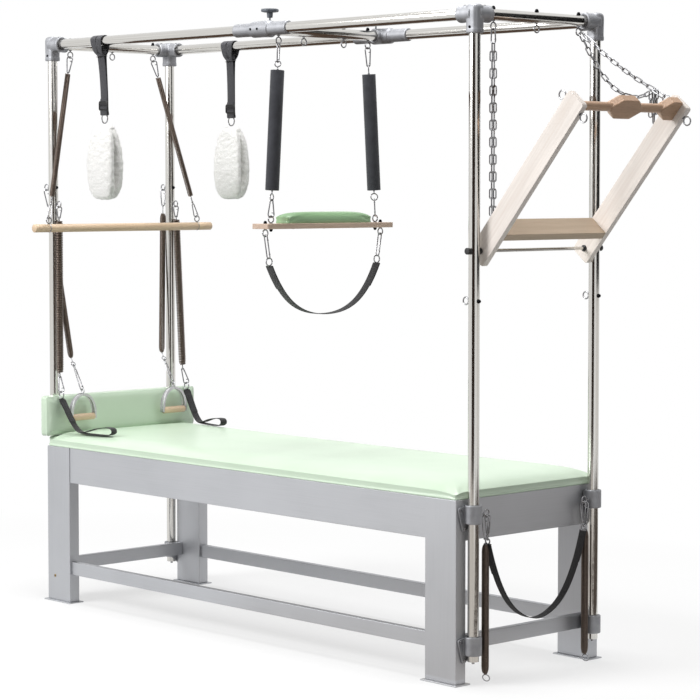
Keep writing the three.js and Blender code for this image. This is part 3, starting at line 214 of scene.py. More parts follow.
def turned(start, end, stations, sides):
    """A lathe: each station (distance, radius) gives a circle about the line from start to end."""
    start, end = np.asarray(start, float), np.asarray(end, float)
    axis = unit(end - start)
    across, third = cross_axes(axis)
    distance, radius = np.array(stations, float).T
    ring = circle(1, sides)
    flat = ring[:, :1] * across + ring[:, 1:] * third
    points = start + distance[:, None, None] * axis + radius[:, None, None] * flat[None]
    own = np.concatenate([np.broadcast_to(distance[:, None, None], (len(distance), sides, 1)),
                          radius[:, None, None] * ring[None]], -1)
    return skin(points, local=own)


def lathe(start, end, stations, sides):
    """The same with its stations in millimetres."""
    return turned(start, end, np.array(stations) * MM, sides)


def rod(start, end, radius, sides, round_off=0.0):
    """A plain cylinder, its rims rounded by a quarter circle when round_off is given."""
    length = np.linalg.norm(np.asarray(end) - np.asarray(start))
    if not round_off:
        return turned(start, end, [(0, radius), (length, radius)], sides)
    arc = np.linspace(0, np.pi / 2, 5)
    low = [(round_off * (1 - np.sin(a)), radius - round_off * (1 - np.cos(a))) for a in arc[::-1]]
    return turned(start, end, low + [(length - d, r) for d, r in low[::-1]], sides)


def slab(size, centre, axes=(X, Y, Z), grain=0):
    """A box from its half sizes along three axes. Its own first coordinate runs along the grain."""
    half = np.asarray(size, float) / 2
    corners = np.array([[-1, -1], [1, -1], [1, 1], [-1, 1]], float)
    grid = np.array([[[u, v, w] for u, v in corners] for w in (-1, 1)]) * half
    points = np.asarray(centre) + grid @ np.asarray(axes)
    order = [grain] + [i for i in range(3) if i != grain]
    return skin(points, local=grid[..., order])


def plate(outline, thickness, centre, axes):
    """A flat outline (u, v) drawn along two axes and given its thickness along the third."""
    outline = np.asarray(outline, float)
    levels = np.array([-0.5, 0.5]) * thickness
    grid = np.stack([np.column_stack([outline, np.full(len(outline), level)]) for level in levels])
    return skin(np.asarray(centre) + grid @ np.asarray(axes), local=grid)


def rounded_outline(length, width, radius, steps=6):
    """A rectangle whose corners are quarter circles."""
    corners = np.array([[1, 1], [-1, 1], [-1, -1], [1, -1]])
    turn = np.linspace(0, np.pi / 2, steps)[None] + np.arange(4)[:, None] * np.pi / 2
    middle = corners * np.array([length / 2 - radius, width / 2 - radius])
    arc = np.stack([np.cos(turn), np.sin(turn)], -1) * radius
    return (middle[:, None] + arc).reshape(-1, 2)


print("profiles, tubes and boards ready")

# %% [markdown]
# ## Finishes
# Nothing on the table is one flat colour. Brushed metal carries fine streaks along its length, cast
# metal a pebbled coat, wood its grain and pores, vinyl a fine leather print, webbing its ribs. Each
# finish reads either the object's coordinates or the piece's own coordinates, so that grain follows a
# leaning board and ribs follow a hanging strap.

# %% Tools for finishes
def linear(red, green, blue):
    """A colour as seen on a screen, turned to linear light by the power 2.2."""
    return tuple(channel ** 2.2 for channel in (red, green, blue)) + (1.0,)


def darker(tone, share):
    """A tone whose channels are multiplied by the share."""
    return tuple(share * channel for channel in tone)


def adder(tree):
    """A short way to add a node to the tree, set it up and join its inputs."""
    def add(kind, inputs=None, **settings):
        node = tree.nodes.new(kind)
        for key, value in settings.items():
            setattr(node, key, value)
        for key, value in (inputs or {}).items():
            if isinstance(value, bpy.types.NodeSocket):
                tree.links.new(value, node.inputs[key])
            else:
                node.inputs[key].default_value = value
        return node

    return add


class Finish:
    """A material, its shader, and short ways to make the nodes that drive it."""

    def __init__(self, name, roughness, metallic=0.0, more=()):
        self.material = bpy.data.materials.new(name)
        self.material.use_nodes = True
        self.tree = self.material.node_tree
        self.shader = self.tree.nodes["Principled BSDF"]
        self.add = adder(self.tree)
        values = {"Roughness": roughness, "Metallic": metallic, "Base Color": (1, 1, 1, 1)} | dict(more)
        for key, value in values.items():
            self.shader.inputs[key].default_value = value

    def join(self, socket, name):
        self.tree.links.new(socket, self.shader.inputs[name])

    def own(self, scale):
        """The piece's own coordinates, stretched, for grain and weave that follow the piece."""
        source = self.add("ShaderNodeAttribute", attribute_name="own").outputs["Vector"]
        return self.add("ShaderNodeMapping", {"Vector": source, "Scale": scale}).outputs[0]

    def place(self, scale=(1, 1, 1)):
        """The object's coordinates, for coats and pores that have no direction."""
        source = self.add("ShaderNodeTexCoord").outputs["Object"]
        return self.add("ShaderNodeMapping", {"Vector": source, "Scale": scale}).outputs[0]

    def noise(self, vector, scale, detail, roughness):
        """Smooth random values between 0 and 1, with finer ones laid on them."""
        return self.add("ShaderNodeTexNoise", {"Vector": vector, "Scale": scale, "Detail": detail,
                                               "Roughness": roughness}).outputs[0]

    def wave(self, vector, scale, distortion, way):
        """Bands across one direction."""
        return self.add("ShaderNodeTexWave", {"Vector": vector, "Scale": scale, "Distortion": distortion},
                        bands_direction=way).outputs[0]

    def cells(self, scale, feature="F1"):
        """Voronoi cells, for pores and for a leather print."""
        return self.add("ShaderNodeTexVoronoi", {"Vector": self.place(), "Scale": scale},
                        feature=feature).outputs[0]

    def add_up(self, first, second, weight):
        """first + weight · second."""
        return self.add("ShaderNodeMath", {0: second, 1: weight, 2: first},
                        operation="MULTIPLY_ADD").outputs[0]

    def blend(self, share, first, second):
        """The first colour where the share is 0, the second where it is 1."""
        return self.add("ShaderNodeMix", {"Factor": share, 6: first, 7: second},
                        data_type="RGBA").outputs[2]

    def ramp(self, value, *stops):
        """Linear colours at stated places between 0 and 1."""
        node = self.add("ShaderNodeValToRGB", {"Fac": value})
        elements = node.color_ramp.elements
        while len(elements) < len(stops):
            elements.new(0.5)
        for element, (place, colour) in zip(elements, stops):
            element.position, element.color = place, colour
        return node.outputs[0]

    def tones(self, value, *stops):
        """The same with its colours as seen on a screen."""
        return self.ramp(value, *((place, linear(*tone)) for place, tone in stops))

    def rough(self, value, low, high):
        """A value from 0 to 1, spread between two others, drives the roughness."""
        spread = self.add("ShaderNodeMapRange", {"Value": value, "To Min": low, "To Max": high})
        self.join(spread.outputs[0], "Roughness")

    def emboss(self, height, distance, strength):
        """Presses the height into the surface, so many metres deep. Returns the finished material."""
        bump = self.add("ShaderNodeBump", {"Height": height, "Distance": distance, "Strength": strength})
        self.join(bump.outputs[0], "Normal")
        return self.material


print("mid grey is", round(linear(0.5, 0.5, 0.5)[0], 3), "in linear light")

# %% [markdown]
# The bed's frame is brushed aluminium: dull, pale grey, with short scratches along each member and
# faint cloudy patches. The tower's tubes are polished stainless steel, much smoother, with the
# faintest drawn lines along their length. Both use noise that is squeezed across the length and
# stretched along it, so that every speck turns into a streak.

# %% Metals
def brushed_aluminium():
    coat = Finish("brushed_aluminium", 0.42, 0.85)
    streak = coat.noise(coat.own((5, 1400, 1400)), 1.0, 3.0, 0.6)
    tone = coat.add_up(streak, coat.noise(coat.place(), 4.0, 2.0, 0.5), 0.5)
    coat.join(coat.tones(tone, (0.4, (0.665, 0.671, 0.685)), (0.8, (0.715, 0.721, 0.735))), "Base Color")
    coat.rough(tone, 0.42, 0.52)
    return coat.emboss(streak, 0.0001, 0.12)


def drawn_steel():
    coat = Finish("drawn_steel", 0.16, 1.0)
    lines = coat.noise(coat.own((1.2, 700, 700)), 1.0, 3.0, 0.6)
    coat.join(coat.tones(lines, (0.3, (0.74, 0.73, 0.71)), (0.7, (0.88, 0.875, 0.86))), "Base Color")
    coat.rough(lines, 0.1, 0.2)
    return coat.emboss(lines, 0.0001, 0.12)


def plated(name, tone, roughness):
    """Plated or lacquered metal: its tone a seventh darker in fine worn specks."""
    coat = Finish(name, roughness, 1.0)
    wear = coat.noise(coat.place(), 160.0, 3.0, 0.6)
    coat.join(coat.tones(wear, (0.35, darker(tone, 0.86)), (0.65, tone)), "Base Color")
    coat.rough(wear, roughness * 0.8, roughness * 1.3)
    return coat.material


def cast_coat():
    """A satin metallic coat over a sand casting: fine pebbles and a slow change of tone."""
    coat = Finish("cast_coat", 0.58, 0.92)
    pebble = coat.noise(coat.place(), 900.0, 3.0, 0.6)
    tone = coat.add_up(coat.noise(coat.place(), 40.0, 3.0, 0.5), pebble, 0.25)
    coat.join(coat.tones(tone, (0.3, (0.55, 0.555, 0.57)), (0.85, (0.63, 0.635, 0.65))), "Base Color")
    return coat.emboss(pebble, 0.0003, 0.35)


ALUMINIUM = brushed_aluminium()
STEEL = drawn_steel()
PLATE = plated("bright_plate", (0.66, 0.66, 0.67), 0.16)
SATIN_PLATE = plated("satin_plate", (0.84, 0.84, 0.85), 0.4)
SPRING = plated("brown_spring_wire", (0.44, 0.395, 0.365), 0.32)
BLACK_METAL = plated("blackened_screws", (0.12, 0.12, 0.13), 0.35)
BRASS = plated("brass_bush", (0.66, 0.55, 0.34), 0.35)
CASTING = cast_coat()
print("metals", len(bpy.data.materials))

# %% [markdown]
# The arms and the trapeze's board are birch plywood: pale faces with long grain, and edges that show
# the plies as thin stripes. The stripes come from a wave across the board's thickness, which stays
# level over a face and only shows on the edges. The round bars are turned beech, warmer, with the
# short dark flecks of that wood.

# %% Woods
def wood(name, pale, dark, plies=0.0, flecks=0.0):
    coat = Finish(name, 0.45, more={"Coat Weight": 0.15, "Coat Roughness": 0.3})
    grain = coat.noise(coat.own((5, 110, 110)), 1.0, 5.0, 0.6)
    broad = coat.noise(coat.own((1.5, 16, 16)), 1.0, 2.0, 0.5)
    colour = coat.tones(coat.add_up(grain, broad, 0.6), (0.45, dark), (0.8, pale),
                        (1.05, tuple(min(1, channel * 1.05) for channel in pale)))
    if flecks:
        fleck = coat.noise(coat.own((60, 900, 900)), 1.0, 1.0, 0.4)
        spot = coat.ramp(fleck, (0.66, (0, 0, 0, 1)), (0.74, (flecks,) * 3 + (1,)))
        colour = coat.blend(spot, colour, linear(*darker(dark, 0.72)))
    if plies:
        layer = coat.wave(coat.own((0, 0, 1)), plies, 0.4, "Z")
        stripe = coat.ramp(layer, (0.25, (0, 0, 0, 1)), (0.6, (0.55, 0.55, 0.55, 1)))
        colour = coat.blend(stripe, colour, linear(*darker(dark, 0.86)))
    coat.join(colour, "Base Color")
    coat.rough(grain, 0.38, 0.55)
    return coat.emboss(grain, 0.0002, 0.25)


PLY = wood("birch_ply", (0.95, 0.915, 0.885), (0.915, 0.865, 0.825), plies=110.0)
# Painted shade: the shelf is the same birch ply as the arms, written darker to stand for the shade on it.
SHADED_SHELF = wood("shaded_shelf_ply", (0.735, 0.655, 0.56), (0.67, 0.58, 0.49), plies=110.0)
PLANK = wood("thin_ply", (0.83, 0.735, 0.66), (0.72, 0.61, 0.53), plies=200.0)
BEECH = wood("turned_beech", (0.825, 0.725, 0.605), (0.75, 0.635, 0.515), flecks=0.8)
# Painted shade: the push bar's handle is the same beech, written darker to stand for the shade on it.
SHADED_BEECH = wood("shaded_beech", (0.71, 0.575, 0.465), (0.62, 0.49, 0.385), flecks=0.8)
print("metals and woods", len(bpy.data.materials))

# %% [markdown]
# The pad, the headboard and the trapeze's cushion are covered in vinyl with a fine leather print. A
# Voronoi cell pattern of about a millimetre gives the print, and slow noise gives the slight rise and
# fall of foam under a tight cover. Foam sleeves, plastic and webbing follow.

# %% Vinyl, foam, plastic and cloth
def vinyl(name, tone, shade):
    coat = Finish(name, 0.34, more={"Specular IOR Level": 0.9})
    slow = coat.noise(coat.place(), 5.0, 2.0, 0.5)
    fine = coat.noise(coat.place(), 300.0, 2.0, 0.5)
    coat.join(coat.tones(coat.add_up(slow, fine, 0.2), (0.4, shade), (0.8, tone)), "Base Color")
    coat.rough(fine, 0.28, 0.4)
    print_cells = coat.cells(620.0, "DISTANCE_TO_EDGE")
    return coat.emboss(coat.add_up(print_cells, slow, 4.0), 0.0004, 0.35)


def foam():
    """Closed-cell foam: charcoal, matt, with pin-prick pores."""
    coat = Finish("charcoal_foam", 0.8, more={"Sheen Weight": 0.25})
    cloud = coat.noise(coat.place(), 30.0, 3.0, 0.6)
    coat.join(coat.tones(cloud, (0.3, (0.17, 0.175, 0.2)), (0.7, (0.215, 0.22, 0.245))), "Base Color")
    return coat.emboss(coat.cells(900.0), 0.0004, 0.5)


def moulded(name, tone, roughness=0.4):
    coat = Finish(name, roughness)
    grit = coat.noise(coat.place(), 1200.0, 2.0, 0.5)
    coat.join(coat.tones(grit, (0.3, darker(tone, 0.8)), (0.7, tone)), "Base Color")
    return coat.emboss(grit, 0.0002, 0.25)


def webbing(name, tone, rib):
    """Woven strap: ribs across the width every few millimetres, broken into a herringbone."""
    coat = Finish(name, 0.8, more={"Sheen Weight": 0.2})
    flow = coat.own((1, 1, 0))
    weave = coat.add("ShaderNodeMath", {0: coat.wave(flow, rib, 0.3, "X"),
                                        1: coat.wave(flow, rib * 1.6, 0.3, "Y")},
                     operation="MULTIPLY").outputs[0]
    coat.join(coat.tones(weave, (0.1, darker(tone, 0.62)), (0.8, tone)), "Base Color")
    return coat.emboss(weave, 0.0005, 0.8)


def pile():
    """White fleece: rough, with soft sheen, and greyed deep between the tufts as painted shade."""
    coat = Finish("white_fleece", 0.95, more={"Sheen Weight": 0.6, "Sheen Roughness": 0.6})
    tuft = coat.noise(coat.place(), 260.0, 4.0, 0.65)
    curl = coat.noise(coat.place(), 900.0, 2.0, 0.6)
    # Painted shade: the tuft height that raises the pile also greys the colour where it dips.
    coat.join(coat.tones(tuft, (0.3, (0.86, 0.855, 0.835)), (0.6, (0.96, 0.957, 0.95))), "Base Color")
    return coat.emboss(coat.add_up(tuft, curl, 0.5), 0.002, 0.9)


MINT = vinyl("mint_vinyl", (0.81, 0.885, 0.795), (0.785, 0.865, 0.77))
GREEN = vinyl("green_vinyl", (0.56, 0.70, 0.53), (0.525, 0.67, 0.50))
FOAM = foam()
BLACK = moulded("black_moulding", (0.13, 0.13, 0.135))
SLATE = moulded("slate_moulding", (0.40, 0.42, 0.45), 0.5)
WEB = webbing("black_webbing", (0.165, 0.16, 0.175), 260.0)
GREY_WEB = webbing("grey_webbing", (0.31, 0.31, 0.335), 260.0)
FLEECE = pile()
FINISHES_OF = {
    "frame_aluminium": ("brushed_aluminium",),
    "tube_steel": ("drawn_steel",),
    "hardware_steel": ("bright_plate", "satin_plate", "blackened_screws", "brass_bush",),
    "spring_steel": ("brown_spring_wire",),
    "casting_grey": ("cast_coat",),
    "ply_wood": ("birch_ply", "shaded_shelf_ply", "thin_ply",),
    "beech_wood": ("turned_beech", "shaded_beech",),
    "vinyl_mint": ("mint_vinyl",),
    "vinyl_green": ("green_vinyl",),
    "foam_grip": ("charcoal_foam",),
    "black_plastic": ("black_moulding", "slate_moulding",),
    "web_black": ("black_webbing", "strap_thread",),
    "web_grey": ("grey_webbing",),
    "fleece_white": ("white_fleece",),
}
SLOTS = {finish: slot for slot, group in FINISHES_OF.items() for finish in group}
print("finishes", len(bpy.data.materials))

# %% [markdown]
# ## Camera
# The camera stands where the photographer's did, worked out from the straight edges of the frame and
# the tower: nearly nine metres from the bed's middle, turned 47 degrees from the table's side and
# tipped down by three.

# %% Camera
PICTURE = 700
FOCAL_PIXELS = 2367.07
HORIZON_PIXELS = 317.05
SENSOR = 36.0
CAMERA_PLACE = (6512.5, -5827.8, 1632.4)
CAMERA_TIP, CAMERA_TURN = 0.0547, 0.8214
lens = bpy.data.cameras.new("camera")
lens.sensor_width = SENSOR
lens.lens = SENSOR * FOCAL_PIXELS / PICTURE
lens.shift_y = (HORIZON_PIXELS - PICTURE / 2) / PICTURE
lens.clip_end = 100
camera = put("camera", lens)
camera.location = at(*CAMERA_PLACE)
camera.rotation_euler = (math.pi / 2 - CAMERA_TIP, 0, CAMERA_TURN)
bpy.context.scene.camera = camera
print("lens", round(lens.lens, 2), "mm, shift", round(lens.shift_y, 4))

# %% [markdown]
# ## The bed's frame
# Each end of the bed is one welded frame: two deep legs on foot plates, with an apron and a stretcher
# between them. Side aprons and stretchers join the ends. They are boxes with slightly rounded edges,
# grouped into one object for each welded piece, with the brush marks running along each member.

# %% End frames, aprons and stretchers
LENGTH, WIDTH, TOP = 2266, 700, 613
LEG_DEEP, LEG_THICK, PLATE_THICK, PLATE_LIP = 144, 46, 5, 12
APRON_TALL, APRON_THICK, APRON_IN = 137, 32, 3
STRETCHER_TALL, STRETCHER_THICK, STRETCHER_IN, STRETCHER_Z = 50, 26, 10, 138
POST_X, POST_Y, TUBE = 1158, 294.5, 19
TUBE_SIDES, TUBE_RIM = 56, 0.6 * MM


def mm(*values):
    """Sizes in millimetres, in metres."""
    return np.array(values, float) * MM


def leg_skins(x, y):
    centre = (x * (LENGTH - LEG_DEEP) / 2, y * (WIDTH - LEG_THICK) / 2)
    stem = slab(mm(LEG_DEEP, LEG_THICK, TOP - PLATE_THICK), at(*centre, (TOP + PLATE_THICK) / 2), grain=2)
    foot = slab(mm(LEG_DEEP + 2 * PLATE_LIP, LEG_THICK + 2 * PLATE_LIP, PLATE_THICK),
                at(*centre, PLATE_THICK / 2))
    return [stem, foot]


def end_member(x, tall, thick, inset, height):
    return slab(mm(thick, WIDTH - 2 * LEG_THICK + 2, tall),
                at(x * (LENGTH / 2 - inset - thick / 2), 0, height), grain=1)


def side_member(y, tall, thick, inset, height):
    return slab(mm(LENGTH - 2 * LEG_DEEP - 0.6, thick, tall),
                at(0, y * (WIDTH / 2 - inset - thick / 2), height))


for x, end in ENDS:
    piece(f"{end}_end", leg_skins(x, -1) + leg_skins(x, 1)
          + [end_member(x, APRON_TALL, APRON_THICK, APRON_IN, TOP - APRON_TALL / 2),
             end_member(x, STRETCHER_TALL, STRETCHER_THICK, STRETCHER_IN, STRETCHER_Z)],
          ALUMINIUM, "table", [f"{end}_end_frame"], bevel=0.0022, bevel_steps=3)
for y, side in SIDES:
    piece(f"{side}_side_apron", [side_member(y, APRON_TALL, APRON_THICK, APRON_IN, TOP - APRON_TALL / 2)],
          ALUMINIUM, "table", [f"{side}_apron"], bevel=0.002)
    piece(f"{side}_side_stretcher",
          [side_member(y, STRETCHER_TALL, STRETCHER_THICK, STRETCHER_IN, STRETCHER_Z)],
          ALUMINIUM, "table", [f"{side}_stretcher"], bevel=0.002)
low, high = (np.array(corner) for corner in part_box("bed_deck"))
piece("deck_board", [slab(high - low, (high + low) / 2)], PLY, "table", ["bed_deck"],
      bevel=0.001)
print("frame done")

# %% [markdown]
# ## Padding
# A tight vinyl cover over firm foam: the sides stand nearly straight and draw in a little between the
# corners, the top edge rolls over in a soft curve and the top is almost flat. The surface is a grid on
# a rounded rectangle. Its height falls towards the edges by an exponential in each direction, so the
# corners dip twice and look stuffed.

# %% A padded form
def stretched(values, power):
    """Moves steps of -1 to 1 towards the ends by a sine blend, so that the edges get more of them."""
    return np.sign(values) * np.abs(np.sin(values * np.pi / 2)) ** power


def edge_walk(grid):
    """The entries round the edge of a grid, once each."""
    return np.concatenate([grid[:-1, 0], grid[-1, :-1], grid[:0:-1, -1], grid[0, :0:-1]])


def padded_form(length, width, height, corner, edge_fall, edge_reach, draw, counts, first_end=1.0,
                side_rows=8):
    """Top: z = height · (1 − fall · e^(−dx/reach)) · (1 − fall · e^(−dy/reach)), with dx and dy the
    distances in from the edges and a reach for each direction; first_end is the share of the fall at
    the low end. Sides: rows between the rim and the base, drawn in by a sine.
    Local axes: length along u, width along v, height along w from the base."""
    u = stretched(np.linspace(-1, 1, counts[0]), 1.0) * length / 2
    v = stretched(np.linspace(-1, 1, counts[1]), 1.0) * width / 2
    uu, vv = np.meshgrid(u, v, indexing="ij")
    beyond_u = np.maximum(np.abs(uu) - (length / 2 - corner), 0)
    beyond_v = np.maximum(np.abs(vv) - (width / 2 - corner), 0)
    far = np.hypot(beyond_u, beyond_v)
    pull = np.where(far > corner, corner / np.maximum(far, 1e-9), 1.0)
    uu = np.sign(uu) * (np.abs(uu) - beyond_u * (1 - pull))
    vv = np.sign(vv) * (np.abs(vv) - beyond_v * (1 - pull))
    in_u, in_v = length / 2 - np.abs(uu), width / 2 - np.abs(vv)
    fall = edge_fall * np.where(uu < 0, first_end, 1.0)
    top = (height * (1 - fall * np.exp(-in_u / edge_reach[0]))
           * (1 - edge_fall * np.exp(-in_v / edge_reach[1])))
    face = np.stack([uu, vv, top], -1)
    rim = edge_walk(face)
    share = np.linspace(0, 1, side_rows + 1)[1:, None, None]
    wall = rim[None] * (1, 1, 0) + rim[None, :, 2:] * (0, 0, 1) * (1 - share)
    waist = np.sin(share * np.pi) * draw + np.where(share == 1, corner * 0.15, 0)
    size = np.array([length / 2, width / 2])
    wall[..., :2] *= 1 - waist / size
    floor = face * (1, 1, 0) * np.append(1 - corner * 0.15 / size, 0)
    return face, wall, floor


SWELL = 3 * MM
SIM_FRAMES = 20
PRESSURE = 4.0
SEAM = 0.01 * MM


def puffed(made, cap, settle):
    """Blows the closed cover up as cloth for a few frames, its base held, and keeps each point within
    the cap of where it was: new = old + d · min(1, cap / |d|). The cap is small, so the cover keeps
    its modelled form. Then one subdivision finishes it."""
    mesh = made.data
    count = len(mesh.vertices)
    before = np.empty(count * 3, np.float32)
    mesh.vertices.foreach_get("co", before)
    before = before.reshape(-1, 3).astype(float)
    cloth = made.modifiers.new("puff", "CLOTH")
    cloth.settings.use_pressure = True
    cloth.settings.uniform_pressure_force = PRESSURE
    cloth.settings.effector_weights.gravity = 0.0
    cloth.settings.vertex_group_mass = "base"
    cloth.point_cache.frame_start, cloth.point_cache.frame_end = 1, SIM_FRAMES
    for frame_number in range(1, SIM_FRAMES + 1):
        bpy.context.scene.frame_set(frame_number)
    blown = made.evaluated_get(bpy.context.evaluated_depsgraph_get()).data
    after = np.empty(count * 3, np.float32)
    blown.vertices.foreach_get("co", after)
    moved = after.reshape(-1, 3).astype(float) - before
    reach = np.linalg.norm(moved, axis=1, keepdims=True)
    print(made.name, "blown by", round(float(reach.max()) * 1000, 1), "mm, kept within",
          round(cap * 1000, 1))
    before = before + moved * np.minimum(1, cap / np.maximum(reach, 1e-9))
    made.modifiers.remove(cloth)
    bpy.context.scene.frame_set(1)
    if settle:
        before = settle(before)
    mesh.vertices.foreach_set("co", before.astype(np.float32).ravel())
    mesh.update()
    finer = made.modifiers.new("finer", "SUBSURF")
    finer.levels = finer.render_levels = 1


def padded_piece(name, face, wall, floor, place, finish, body, replaces, fill, cap, settle=None):
    """Joins the top, the rows of the side and the base into one closed mesh."""
    rows, columns = face.shape[:2]
    grids = [face.reshape(-1, 3), wall.reshape(-1, 3), floor.reshape(-1, 3)]
    grid = np.arange(rows * columns).reshape(rows, columns)
    rim = edge_walk(grid)
    start = rows * columns
    rings = [rim] + [start + i * len(rim) + np.arange(len(rim)) for i in range(len(wall))]
    quads = [np.stack([grid[:-1, :-1], grid[1:, :-1], grid[1:, 1:], grid[:-1, 1:]], -1).reshape(-1, 4)]
    for above, under in zip(rings, rings[1:]):
        quads.append(np.stack([above, under, np.roll(under, -1), np.roll(above, -1)], -1))
    base = grid + start + wall.shape[0] * len(rim)
    quads.append(np.stack([base[:-1, :-1], base[:-1, 1:], base[1:, 1:], base[1:, :-1]], -1).reshape(-1, 4))
    mesh = bpy.data.meshes.new(name)
    mesh.from_pydata(place(np.concatenate(grids)).tolist(), [], np.concatenate(quads).tolist())
    made = put(name, mesh)
    close_seams(mesh)
    mesh.materials.append(finish)
    mesh.shade_smooth()
    base = made.vertex_groups.new(name="base")
    held = np.concatenate([grids[2], grids[1][-2 * len(rim):]])
    marks = {tuple(np.round(point, 5)) for point in place(held)}
    base.add([v.index for v in mesh.vertices if tuple(np.round(v.co, 5)) in marks], 1.0, "REPLACE")
    puffed(made, cap, settle)
    belongs(made, finish, body, replaces)
    return made


def close_seams(mesh):
    """Merges doubled points and turns every face outwards."""
    work = bmesh.new()
    work.from_mesh(mesh)
    bmesh.ops.remove_doubles(work, verts=work.verts, dist=SEAM)
    bmesh.ops.recalc_face_normals(work, faces=work.faces)
    work.to_mesh(mesh)
    work.free()


# %% [markdown]
# The bed's pad lies on the deck, from rim to rim of the frame. The headboard's lower edge sinks into
# it at the left end, so the pad dips there. The headboard stands against the two left posts, its
# face towards the bed.

# %% Bed pad, headboard and seat cushion
PAD_TALL = 54.0
HEADBOARD = dict(long=752, tall=160, thick=45, back=-POST_X + TUBE + 0.3, foot=651)


def pad_place(points):
    z = points[:, 2] / MM + TOP + 0.3
    x = points[:, 0] / MM
    dent = 1 / (1 + np.exp((x - (HEADBOARD["back"] + HEADBOARD["thick"] + 5)) / 3.5))
    inside = np.abs(points[:, 1] / MM) < HEADBOARD["long"] / 2
    z = z - dent * inside * np.maximum(z - HEADBOARD["foot"], 0)
    return np.stack([x - BED_TO_FRAME, points[:, 1] / MM, z], -1) * MM


def under_headboard(points):
    """Keeps the pad below the headboard's foot, and its sides within the deck."""
    covered = ((points[:, 0] / MM + BED_TO_FRAME < HEADBOARD["back"] + HEADBOARD["thick"])
               & (np.abs(points[:, 1]) / MM < HEADBOARD["long"] / 2))
    low = np.where(covered, np.minimum(points[:, 2], HEADBOARD["foot"] * MM), points[:, 2])
    return np.stack([points[:, 0], np.clip(points[:, 1], -WIDTH * MM / 2, WIDTH * MM / 2), low], -1)


padded_piece("mint_pad", *padded_form(LENGTH * MM, WIDTH * MM, PAD_TALL * MM - SWELL, 0.014, 0.48,
             (0.042, 0.020), 0.0012, counts=(120, 48), first_end=0.1), pad_place, MINT, "table",
             ["bed_pad"], 0.95, SWELL, under_headboard)


def headboard_place(points):
    """Length along Y, width up Z, height towards +X."""
    turned_points = np.stack([points[:, 2], points[:, 0], -points[:, 1]], -1)
    return turned_points + at(HEADBOARD["back"], 0, HEADBOARD["foot"] + HEADBOARD["tall"] / 2)


padded_piece("mint_headboard", *padded_form(HEADBOARD["long"] * MM, HEADBOARD["tall"] * MM,
             HEADBOARD["thick"] * MM - SWELL, 0.012, 0.16, (0.010, 0.010), 0.0015, counts=(70, 24)),
             headboard_place, MINT, "table", ["headboard"], 0.95, SWELL)

CARRIAGE = 110
PLANK_TOP = 1503
PLANK_MIDDLE = PLANK_TOP - 9.5


def seat_place(points):
    """Length along Y on the trapeze's board."""
    return np.stack([-points[:, 1], points[:, 0], points[:, 2]], -1) + at(CARRIAGE, 0, PLANK_TOP + 0.3)


padded_piece("green_seat", *padded_form(0.418, 0.075, 0.042 - SWELL, 0.012, 0.36, (0.02, 0.012), 0.002,
             counts=(60, 20)), seat_place, GREEN, "trapeze", ["trapeze_cushion"], 0.9, SWELL)
print("padding done")

# %% [markdown]
# ## Wire hardware
# Eyes, rings and clips are bent from round wire about five millimetres thick. A ring is a circle swept
# by a circle. A spring clip is a long loop: two half circles joined by straight sides, with a thicker
# gate along one side. Its loop hooks over the wires at both ends, so its half circles sit inside the
# distance between them. An eyebolt is a ring on a shank with a collar, and a domed nut behind.

# %% Rings, clips and eyebolts
WIRE = 2.5 * MM
WIRE_SIDES = 10


def ring(centre, radius, along, across, wire=WIRE, steps=36):
    """centre + radius · (cos a · across + sin a · along), closed on itself."""
    turn = np.arange(steps) * 2 * np.pi / steps
    path = centre + radius * (np.cos(turn)[:, None] * unit(across) + np.sin(turn)[:, None] * unit(along))
    return sweep(path, circle(wire, WIRE_SIDES), np.cross(unit(across), unit(along)), closed=True)


def loop_path(start, end, across, radii, steps=10):
    """A half circle round each of two centres, joined by straight sides."""
    along = unit(end - start)
    across = unit(across - along * (across @ along))
    turn = np.linspace(0, np.pi, steps)
    first = start + radii[0] * (np.cos(turn)[:, None] * across - np.sin(turn)[:, None] * along)
    second = end + radii[1] * (-np.cos(turn)[:, None] * across + np.sin(turn)[:, None] * along)
    return np.concatenate([first, second]), np.cross(along, across)


def clip(start, end, across, holds, radii=(8, 8), wire=WIRE):
    """A clip hooked over wires at start and end; a hold is the distance from each wire to its own."""
    along = unit(end - start)
    high = start + along * (radii[0] - holds[0]) * MM
    low = end + along * (holds[1] - radii[1]) * MM
    path, normal = loop_path(high, low, across, np.array(radii) * MM)
    sidewards = unit(across - along * (across @ along)) * min(radii) * MM
    span = low - high
    gate = [rod(high + sidewards + share * span, high + sidewards + (share + 0.06) * span, wire * 1.35, 16)
            for share in (0.12, 0.86)]
    return [sweep(path, circle(wire, WIRE_SIDES), normal, closed=True)] + gate


def dome_nut(seat, outward, size=7.0, tall=11.0):
    """Six flats, then a quarter circle of dome."""
    arc = np.linspace(0, np.pi / 2, 7)[:-1]
    dome = [(tall * 0.45 + tall * 0.55 * np.sin(a), size * 0.86 * np.cos(a)) for a in arc]
    low = seat - outward * 0.0005
    return [lathe(low, seat + outward * tall * MM,
                  [(0, size), (tall * 0.42, size), (tall * 0.47, size * 0.9)], 6),
            lathe(low, seat + outward * tall * MM, [(tall * 0.4, size * 0.88)] + dome + [(tall, 0.2)], 24)]


def washer(seat, outward, radius, thick):
    """A flat disc on a face, its rim eased."""
    return lathe(seat - outward * 0.0006, seat + outward,
                 [(0, radius), (thick + 0.3, radius), (thick + 0.6, radius - 0.4)], 28)


def eye_bolt(heart, outward, across, half, radius=12.0, shank=6.0):
    """An eye beyond one face of a piece, a collar on that face; returns the eye's centre too."""
    face = heart + outward * half * MM
    centre = face + outward * (shank + radius) * MM
    stem = rod(face - outward * 0.002, face + outward * (shank + 0.5) * MM, WIRE * 1.05, 14)
    return [ring(centre, radius * MM, outward, across), stem, washer(face, outward, 6.5, 1.6)], centre


